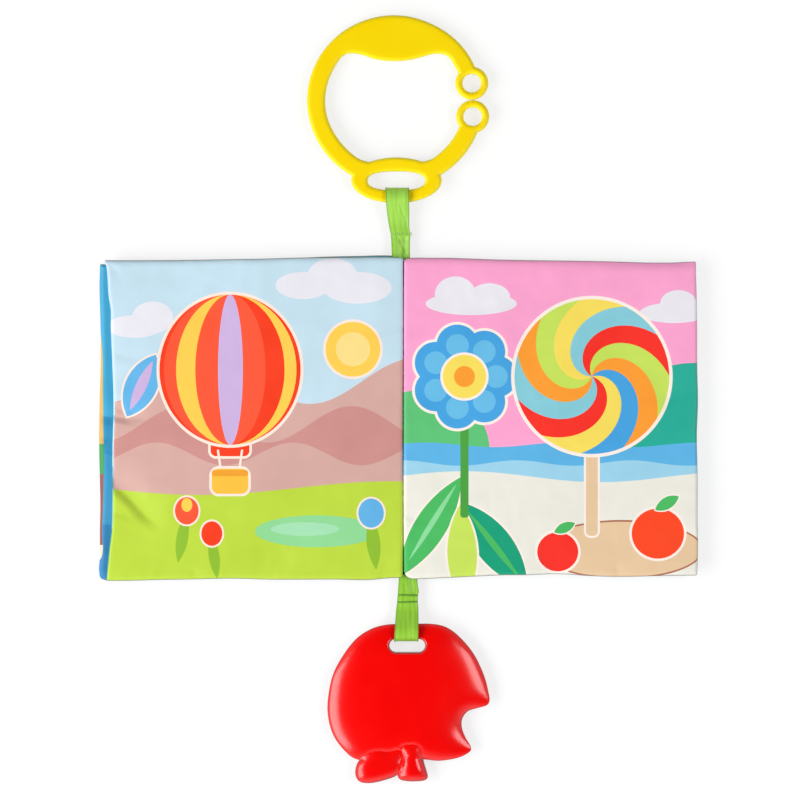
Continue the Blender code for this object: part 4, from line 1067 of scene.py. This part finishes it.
# One satin tape with its stitches: doubled from the spine round the bar and back, and pressed in by its bar tacks
def makeTape(word, t):
    p, z, at = tapeLine(t)
    tp, tz = np.gradient(p), np.gradient(z)
    size = np.hypot(tp, tz)
    outward = np.stack((tz / size, -tp / size), 1)  # in the plane of the path: away, up
    across = np.array(tapeForm["columns"])
    left, right = through(t["left"], p), through(t["right"], p)
    farSide, atEdge = tapeForm["earPowers"]
    ear = tapeForm["ear"] * np.abs(2 * across - 1) ** atEdge
    curl = tapeForm["curl"] * (2 * across - 1) ** tapeForm["curlPower"]
    skins = []
    for way in (1, -1):
        rows = []
        for k, (away, up) in enumerate(outward):
            x = left[k] + across * (right[k] - left[k])
            dent = tapeRelief(t, x, np.full_like(x, p[k]))
            if p[k] < t["split"] + tapeForm["lapPast"]:  # both plies move together where they lie on each other
                shift = up * (-dent - curl)
            else:
                dent *= 1 if up > tapeForm["upperFrom"] else tapeForm["underShare"]
                shift = max(0.0, away) ** farSide * ear - dent - curl
            press = sum(math.exp(-((p[k] - bar) / tapeForm["barWidth"]) ** 2) for bar in t["bars"])
            thin = max(1 - tapeForm["barDepth"] / tapeForm["half"] * press, tapeForm["thinnest"])
            reach = shift + way * tapeForm["half"] * (thin if way > 0 else 1)
            rows.append(np.stack((x, t["direction"] * (p[k] + away * reach), z[k] + up * reach), 1))
        skins.append(np.array(rows))
    piece = addStrip(word + "_satin_tape", *skins, across, at * mm, tapeGreens[word])
    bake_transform(piece)
    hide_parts(*t["nodes"])

    # Its stitches: zigzags of thread across the tape
    threads = []
    onTurn, between, inTail = tapeForm["threadLevels"]
    for k, bar in enumerate(t["bars"]):
        lean = tapeForm["barLean"] * math.sin(3 * bar)
        low = through(t["left"], [bar])[0] + tapeForm["barMargins"][0]
        high = through(t["right"], [bar])[0] - tapeForm["barMargins"][1]
        count = round((high - low) / tapeForm["barPitch"][word])
        line = []
        for n in range(count + 1):
            x, middle = low + (high - low) * n / count, bar + lean * (2 * n / count - 1)
            away = middle + tapeForm["barReach"][word] / 2 * (1 if n % 2 else -1)
            dent = tapeRelief(t, np.array([x]), np.array([away]))[0]
            level = t["level"] + tapeForm["ply"] + tapeForm["half"] - tapeForm["barDepth"] - dent
            level -= tapeForm["curl"] * (2 * (x - low) / (high - low) - 1) ** tapeForm["curlPower"]
            line.append((x, t["direction"] * away, level + onTurn))
            if n < count:
                line.append((x + (high - low) / count / 2, t["direction"] * middle, level + between))
        if word == "upper":  # its last end is left standing out past the edge
            line += [(x + dx, t["direction"] * (away + dy), level + inTail) for dx, dy in tapeForm["tail"]]
        threads.append(addThread("%s_tape_stitch_%d" % (word, k + 1), line, tapeForm["thread"], threadGreens[word]))
        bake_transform(threads[-1])
    if word == "upper":
        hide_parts("upper_tape_cross_stitch")
    else:
        for k, one in enumerate(threads):
            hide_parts("lower_tape_bar_tack_%d" % (k + 1))


for word, t in tapes.items():
    makeTape(word, t)
print("tapes made")


teether = {
    "bar": (1.9, -94.2, 4.45),  # the middle of its strap bar, which every outline is measured from
    "slot": {"middle": -6.1, "reach": 5.0, "radius": 2.8, "roll": 0.9},
    "crown": (1.1, (0.5, -29.0), 33.0),  # how much the body rises to its middle, where that is, and how far it reaches
    "seam": (0.13, 0.9),                 # how deep, as a share, and how wide the valley round the leaf and stem is
    "waist": (0.30, 13.0, 5.0),          # how much thinner it is at the bar, as a share, and how wide and long that is
    # Softer edges round the bite: how much, as a share, where, and how far that reaches
    "shoulders": ((0.2, (33.0, -27.0), 15.0), (0.7, (22.5, -44.0), 8.0)),
    "softened": (1.0, 1.2, 4),  # half width of the softened seams, how far in from the edge they start, how often
    "edgeStep": 0.65,           # between the points of an outline
    "rings": (0.10, 0.32, 0.7, 1.25, 2.0),  # how far in from the edge its rings of points lie
    "pitch": 1.0,                           # of the points further in
    # Each form's heights above and below the middle, how far it swells in from its edge and how fast, and its outline
    "forms": {
        "apple": {"up": 3.6, "down": 4.4, "swell": 5.0, "power": 0.75, "outline": (
            (-0.6, 3.3), (10.4, 3.4), (17.4, 1.8), (23.6, -2.9), (29.6, -10.4), (33.9, -19.6), (35.9, -27.5),
            (36.2, -30.6), (34.8, -32.6), (30.6, -33.8), (26.6, -35.2), (24.2, -38.5), (24.1, -42.5), (25.8, -46.9),
            (27.8, -50.4), (27.6, -52.8), (22.7, -55.5), (14.4, -56.9), (7.3, -56.3), (-1.1, -55.7), (-12.1, -56.8),
            (-22.2, -56.3), (-27.9, -52.2), (-32.6, -45.6), (-34.8, -38.1), (-35.0, -30.1), (-32.8, -19.1),
            (-27.9, -9.9), (-22.2, -2.9), (-15.6, 1.3), (-8.6, 3.1))},
        "leaf": {"up": 3.5, "down": 3.6, "swell": 2.6, "power": 0.75, "outline": (
            (-22.0, -57.9), (-18.2, -54.1), (-13.4, -52.4), (-8.1, -52.8), (-3.3, -51.9), (-0.6, -55.3), (-1.5, -60.1),
            (-5.0, -63.6), (-11.2, -65.8), (-16.9, -66.8), (-21.1, -66.0), (-22.9, -62.8))},
        "stem": {"up": 4.1, "down": 3.2, "swell": 2.6, "power": 0.75, "outline": (
            (-2.3, -50.3), (1.4, -49.5), (5.0, -50.3), (6.4, -53.5), (7.4, -57.6), (8.7, -61.9), (9.0, -64.3),
            (7.4, -65.6), (3.9, -66.0), (-0.2, -65.9), (-3.3, -65.1), (-4.3, -62.9), (-3.4, -59.3), (-2.7, -55.5),
            (-2.6, -52.3))},
    },
}


# A smooth closed curve through an outline's points, with a point at every step of its length
def closedCurve(points, step):
    points = np.array(points, float)
    before, after, beyond = (np.roll(points, k, axis=0) for k in (1, -1, -2))
    curve = []
    for s in np.arange(12) / 12:
        curve.append(0.5 * (2 * points + (after - before) * s + (2 * before - 5 * points + 4 * after - beyond) * s ** 2
                            + (3 * points - before - 3 * after + beyond) * s ** 3))
    return evenLoop(np.stack(curve, 1).reshape(-1, 2), step)


# The same closed line with evenly spaced points
def evenLoop(loop, step):
    return evenSteps(np.concatenate((loop, loop[:1])), step)[0][:-1]


# Distance of each spot from a closed outline: positive inside it, negative outside
def depthInside(spots, loop):
    best = np.full(len(spots), 1e9)
    inside = np.zeros(len(spots), bool)
    for a, b in zip(loop, np.roll(loop, -1, axis=0)):
        along = np.clip(((spots - a) @ (b - a)) / max((b - a) @ (b - a), 1e-12), 0, 1)
        best = np.minimum(best, np.linalg.norm(spots - a - along[:, None] * (b - a), axis=1))
        crosses = (a[1] > spots[:, 1]) != (b[1] > spots[:, 1])
        reach = a[0] + (spots[:, 1] - a[1]) / np.where(b[1] == a[1], 1e-12, b[1] - a[1]) * (b[0] - a[0])
        inside ^= crosses & (spots[:, 0] < reach)
    return np.where(inside, best, -best)


# The stiffest link between two points, the most rounds, and how small a rest ends them
swelling = {"stiffest": 20.0, "rounds": 400, "close": 1e-14}


# How a skin fixed at its edge swells, from 0 there to 1 well inside: conjugate gradients on the triangles
def inflate(flat, triangles, free, reach):
    pairs, weights, mass = [], [], np.zeros(len(flat))
    for k in range(3):
        a, b, c = triangles[:, k], triangles[:, (k + 1) % 3], triangles[:, (k + 2) % 3]
        u, v = flat[a] - flat[c], flat[b] - flat[c]
        cross = np.abs(u[:, 0] * v[:, 1] - u[:, 1] * v[:, 0])
        pairs.append(np.stack((a, b), 1))
        weights.append(np.clip((u * v).sum(1) / (2 * np.maximum(cross, 1e-9)), 0.0, swelling["stiffest"]))
        np.add.at(mass, c, cross / 6)
    (a, b), w = np.concatenate(pairs).T, np.concatenate(weights)

    def pull(field):
        flow = w * (field[a] - field[b])
        total = np.bincount(a, flow, len(flat)) - np.bincount(b, flow, len(flat)) + mass / reach ** 2 * field
        return np.where(free, total, 0.0)

    field = np.zeros(len(flat))
    rest = np.where(free, mass / reach ** 2, 0.0)
    step, size = rest.copy(), (rest * rest).sum()
    for _ in range(swelling["rounds"]):
        image = pull(step)
        gain = size / (step @ image)
        field += gain * step
        rest -= gain * image
        fresh = rest @ rest
        if fresh < swelling["close"]:
            break
        step = rest + fresh / size * step
        size = fresh
    return np.clip(field, 0, 1)


# How near to an outline, and how near to each other, the points of the rings and those further in may lie
spacing = {"ringGap": 0.08, "ringRoom": 0.2, "innerGap": 0.3, "innerRoom": 0.6}


# A flat triangulation of outlines that overlap, with the holes left out. Rings of points follow every outline.
def layOut(solids, holes, rings, pitch):
    loops = [*solids, *holes]

    def within(spots):
        depth = np.maximum.reduce([depthInside(spots, loop) for loop in solids])
        return np.minimum.reduce([depth, *(-depthInside(spots, loop) for loop in holes)])

    edges, start = [], 0
    for loop in loops:
        edges += [(start + k, start + (k + 1) % len(loop)) for k in range(len(loop))]
        start += len(loop)
    near = []
    for loop in loops:
        run = np.roll(loop, -1, axis=0) - np.roll(loop, 1, axis=0)
        inward = np.stack((-run[:, 1], run[:, 0]), 1) / np.linalg.norm(run, axis=1)[:, None]
        near += [loop + way * inward * offset for offset in rings for way in (1, -1)]
    low, high = np.concatenate(loops).min(0) - 1, np.concatenate(loops).max(0) + 1
    rows = np.arange(low[1], high[1], pitch * math.sqrt(3) / 2)
    columns = np.arange(low[0], high[0], pitch)
    grid = np.array([(x + (k % 2) * pitch / 2, y) for k, y in enumerate(rows) for x in columns])
    kept, taken, cellSize = [], {}, spacing["innerRoom"]
    for batch, margin, room in ((np.concatenate(near), spacing["ringGap"], spacing["ringRoom"]),
                                (grid, rings[-1] + spacing["innerGap"], spacing["innerRoom"])):
        gap = np.minimum.reduce([np.abs(depthInside(batch, loop)) for loop in loops])
        for spot in batch[(within(batch) > 0) & (gap > margin)]:
            cell = (int(spot[0] // cellSize), int(spot[1] // cellSize))
            close = [p for i in (-1, 0, 1) for j in (-1, 0, 1) for p in taken.get((cell[0] + i, cell[1] + j), ())]
            if all(math.dist(spot, other) > room for other in close):
                taken.setdefault(cell, []).append(spot)
                kept.append(spot)
    spots = np.concatenate((*loops, kept))
    flat, _, triangles, _, _, _ = delaunay_2d_cdt([Vector(p) for p in spots], edges, [], 0, 1e-5)
    flat = np.array([tuple(p) for p in flat])
    triangles = np.array([tuple(t) for t in triangles])
    triangles = triangles[within(flat[triangles].mean(1)) > 0]
    used, triangles = np.unique(triangles, return_inverse=True)
    triangles = triangles.reshape(-1, 3)
    sides = np.sort(np.concatenate([triangles[:, [k, (k + 1) % 3]] for k in range(3)]), axis=1)
    sides, times = np.unique(sides, axis=0, return_counts=True)
    rim = np.zeros(len(used), bool)
    rim[sides[times == 1].ravel()] = True
    return flat[used], triangles, rim, within(flat[used])


# Averages heights with their neighbours', where the seams between forms would pinch
def soften(heights, triangles, where, times):
    ends = np.concatenate([triangles[:, [k, (k + 1) % 3]] for k in range(3)]).T
    count = np.maximum(np.bincount(ends.ravel(), minlength=len(heights)), 1)
    for _ in range(times):
        total = sum(np.bincount(ends[k], heights[ends[1 - k]], len(heights)) for k in (0, 1))
        heights = np.where(where, (heights + total / count) / 2, heights)
    return heights


# One moulding from the heights of its upper and lower faces about a middle surface. They share their rim.
def closeSkins(name, flat, level, heights, triangles, rim, material):
    up, down = (np.where(rim, 0, height) for height in heights)
    upper, lower = np.column_stack((flat, level + up)), np.column_stack((flat, level - down))
    index = np.where(rim, np.arange(len(flat)), len(flat) + np.cumsum(~rim) - 1)
    faces = [tuple(int(k) for k in t) for t in triangles]
    faces += [tuple(int(index[k]) for k in t[::-1]) for t in triangles]
    piece = addPiece(name, np.concatenate((upper, lower[~rim])), faces, [material])
    turnFacesOut(piece)
    return piece


# The teether: one soft moulding, with the body, leaf and stem of an apple and a slot for its tape
def makeTeether():
    slot, step = teether["slot"], teether["edgeStep"]
    outlines = {word: closedCurve(form["outline"], step) for word, form in teether["forms"].items()}
    turn = np.linspace(-math.pi / 2, math.pi / 2, 14)
    end = np.stack((slot["reach"] + slot["radius"] * np.cos(turn), slot["middle"] + slot["radius"] * np.sin(turn)), 1)
    slotLoop = evenLoop(np.concatenate((end, (0, 2 * slot["middle"]) - end)), step)
    flat, triangles, rim, depth = layOut([*outlines.values()], [slotLoop], teether["rings"], teether["pitch"])

    slotRim = rounded(-depthInside(flat, slotLoop) / slot["roll"])
    share, wide, long = teether["waist"]
    waist = 1 - share * np.exp(-(flat[:, 0] / wide) ** 2 - (flat[:, 1] / long) ** 2)
    rise, middle, reach = teether["crown"]
    crown = rise * np.clip(1 - ((flat - middle) ** 2).sum(1) / reach ** 2, 0, 1)
    deep, wide = teether["seam"]
    added = [depthInside(flat, outlines[word]) for word in ("leaf", "stem")]
    valley = 1 - deep * np.exp(-(np.minimum(np.maximum(*added), 0) / wide) ** 2)
    shoulder = 1 + sum(extra * np.exp(-((flat - middle) ** 2).sum(1) / wide ** 2)
                       for extra, middle, wide in teether["shoulders"])
    heights = {"up": np.zeros(len(flat)), "down": np.zeros(len(flat))}
    for word, form in teether["forms"].items():
        free = depthInside(flat, outlines[word]) > 1e-3
        swell = inflate(flat, triangles, free, form["swell"] * (shoulder if word == "apple" else 1)) ** form["power"]
        for face in heights:
            dome = form[face] * swell
            if word == "apple":
                dome = (dome + crown * swell * (face == "up")) * slotRim * waist * valley
            heights[face] = np.hypot(heights[face], dome)
    wide, start, times = teether["softened"]
    pinched = (np.minimum(*np.abs(added)) < wide) & (depth > start)
    heights = {face: soften(height, triangles, pinched, times) for face, height in heights.items()}
    x, y, level = teether["bar"]
    piece = closeSkins("soft_apple_teether", flat + (x, y), level, heights.values(), triangles, rim, teetherRed)
    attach(piece, "teether")
    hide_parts("apple_teether")
    return piece


print("teether made:", len(makeTeether().data.vertices))


ring = {
    "centre": (-2.64, 139.7),
    "bar": (96.9, 4.4),  # where its strap bar lies: away along the tape, and up
    "tilt": 1.54,        # it leans down from its bar to the table, in degrees
    "half": 2.25,        # half its thickness
    "round": 1.6,        # width of its rounded edge
    "edgeStep": 0.8,
    "rings": (0.12, 0.35, 0.7, 1.15, 1.65),
    "pitch": 1.8,
    "opening": (13, 347),  # the angles between which the band runs, from the right-hand side
    # Radii of the band about the centre, by angle
    "outer": ((13, 37.3), (30, 37.4), (50, 37.2), (60, 37.1), (70, 37.1), (80, 37.35), (90, 37.55), (100, 37.8),
              (110, 38.05), (120, 38.35), (130, 38.7), (140, 39.0), (150, 39.3), (160, 39.5), (180, 39.7), (200, 39.5),
              (220, 39.15), (240, 38.8), (270, 38.5), (300, 38.2), (320, 38.15), (347, 38.2)),
    # The inner edge takes in the roof over the slot and the belly of the grip, with its two corners
    "inner": ((13, 29.6), (30, 29.5), (41, 29.5), (43.5, 29.1), (46.5, 28.2), (50, 26.8), (60, 22.0), (70, 19.1),
              (80, 17.7), (90, 17.27), (100, 17.55), (110, 18.7), (120, 21.2), (130, 26.6), (134, 28.8), (138, 30.3),
              (141.5, 30.85), (150, 31.0), (165, 31.3), (180, 31.6), (195, 31.5), (210, 31.05), (225, 30.8),
              (240, 30.5), (250, 29.0), (260, 26.85), (270, 26.3), (280, 26.75), (290, 28.8), (300, 30.0),
              (310, 29.9), (330, 29.8), (347, 29.7)),
    "boss": {"at": (-2.9, 104.4), "half": (20.0, 10.1)},
    "slot": {"at": (-2.9, 104.2), "half": (12.6, 4.1), "power": 2.5},
    "eyelets": {"at": ((30.3, 147.25), (30.7, 132.5)), "radius": 7.3, "hole": 4.05},
}


# Evenly stepped ellipse, or a fuller one if its power is above 2
def ellipse(at, half, step, power=2.0):
    turn = np.linspace(0, 2 * math.pi, 240, endpoint=False)
    c, s = np.cos(turn), np.sin(turn)
    reach = np.stack((np.sign(c) * np.abs(c) ** (2 / power), np.sign(s) * np.abs(s) ** (2 / power)), 1)
    return evenLoop(np.array(at) + reach * half, step)


# The clip ring: a C-shaped band with its grip, a strap boss with a slot, and an eyelet at each end of the opening
def makeRing():
    start, stop = ring["opening"]
    angles = np.arange(start, stop + 1, 1.0)
    turn = np.radians(angles)[:, None]
    spoke = np.hstack((np.cos(turn), np.sin(turn)))
    outer, inner = (np.array(ring["centre"]) + spoke * through(ring[edge], angles)[:, None]
                    for edge in ("outer", "inner"))
    step, eyelets = ring["edgeStep"], ring["eyelets"]
    solids = [evenLoop(np.concatenate((outer, inner[::-1])), step), ellipse(**ring["boss"], step=step)]
    holes = [ellipse(**ring["slot"], step=step)]
    for at in eyelets["at"]:
        solids.append(ellipse(at, eyelets["radius"], step))
        holes.append(ellipse(at, eyelets["hole"], step))
    flat, triangles, rim, depth = layOut(solids, holes, ring["rings"], ring["pitch"])
    height = ring["half"] * rounded(depth / ring["round"])
    away, rise = ring["bar"]
    level = rise - (flat[:, 1] - away) * math.tan(math.radians(ring["tilt"]))
    piece = closeSkins("moulded_clip_ring", flat, level, (height, height), triangles, rim, ringYellow)
    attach(piece, "clip_ring")
    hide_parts("clip_ring")
    return piece


print("ring made:", len(makeRing().data.vertices))


# Stage: floor, world and lamps
studio = {
    "floor": "#909090",
    "floorLift": 0.74,   # what is added where the floor is seen, so that it looks white at this level of light
    "floorSize": 6,      # in metres
    "walls": 0.86,       # the room is pale round the table
    "ceiling": 0.03,     # and dark overhead, where the camera hangs
    "wallTop": 0.35,     # sines of the heights between which the one turns into the other
    "ceilingStart": 0.80,
    "windowSide": 0.35,  # how much paler the room is in front of the table than behind it
    "lamps": [
        {"name": "left softbox", "azimuth": 198, "elevation": 38, "away": 1100, "size": (1200, 560), "radiance": 5.5},
        {"name": "right softbox", "azimuth": 2, "elevation": 51, "away": 900, "size": (480, 260), "radiance": 6.3},
    ],
}


# 1 for what the camera sees, also through glass or in a reflection
def seenDirectly(tree):
    path = addNode(tree, "ShaderNodeLightPath").outputs
    either = maths(tree, "ADD", path["Is Camera Ray"], path["Is Glossy Ray"])
    return maths(tree, "ADD", either, path["Is Transmission Ray"], use_clamp=True)


def makeStage():
    bpy.ops.mesh.primitive_plane_add(size=studio["floorSize"], location=(0, 0, 0))
    floor = bpy.context.object
    floor.name = "studio_floor"
    paper = bpy.data.materials.new("matt white paper")
    tree = emptyTree(paper)
    sheet = addNode(tree, "ShaderNodeBsdfDiffuse", inputs={"Color": studio["floor"]})
    lift = maths(tree, "MULTIPLY", seenDirectly(tree), studio["floorLift"])
    glow = addNode(tree, "ShaderNodeEmission", inputs={"Strength": lift})
    both = addNode(tree, "ShaderNodeAddShader", inputs={0: sheet, 1: glow})
    addNode(tree, "ShaderNodeOutputMaterial", inputs={"Surface": both})
    floor.data.materials.append(paper)

    world = bpy.data.worlds.new("studio")
    bpy.context.scene.world = world
    tree = emptyTree(world)
    _, y, z = apart(tree, coordinates(tree, "Generated"))
    level = spread(tree, z, studio["walls"], studio["ceiling"], studio["wallTop"], studio["ceilingStart"])
    lean = maths(tree, "MULTIPLY_ADD", y, -studio["windowSide"], 1.0)
    sky = addNode(tree, "ShaderNodeBackground",
                  inputs={"Color": "#FFFFFF", "Strength": maths(tree, "MULTIPLY", level, lean)})
    addNode(tree, "ShaderNodeOutputWorld", inputs={"Surface": sky})

    for lamp in studio["lamps"]:
        data = bpy.data.lights.new(lamp["name"], "AREA")
        data.shape = "RECTANGLE"
        data.size, data.size_y = (length * mm for length in lamp["size"])
        data.energy = lamp["radiance"] * math.pi * data.size * data.size_y
        light = addObject(lamp["name"], data)
        turn, rise = math.radians(lamp["azimuth"]), math.radians(lamp["elevation"])
        away = Vector((math.cos(turn) * math.cos(rise), math.sin(turn) * math.cos(rise), math.sin(rise)))
        light.location = away * lamp["away"] * mm
        light.rotation_euler = away.to_track_quat("Z", "Y").to_euler()
    bpy.context.scene.view_settings.view_transform = "Standard"


# It looks straight down. The width seen is that at the level of the pages.
camera = {"at": (-1.32, 7.7), "away": 1600.0, "widthSeen": 352.0, "level": 5.0, "sensor": 36.0, "clipEnd": 20}


def makeCamera():
    data = bpy.data.cameras.new("camera")
    data.sensor_width = camera["sensor"]
    data.lens = camera["sensor"] * (camera["away"] - camera["level"]) / camera["widthSeen"]
    data.clip_end = camera["clipEnd"]  # in metres
    view = addObject("camera", data)
    view.location = (camera["at"][0] * mm, camera["at"][1] * mm, camera["away"] * mm)
    bpy.context.scene.camera = view


makeStage()
makeCamera()
print("stage and camera made")
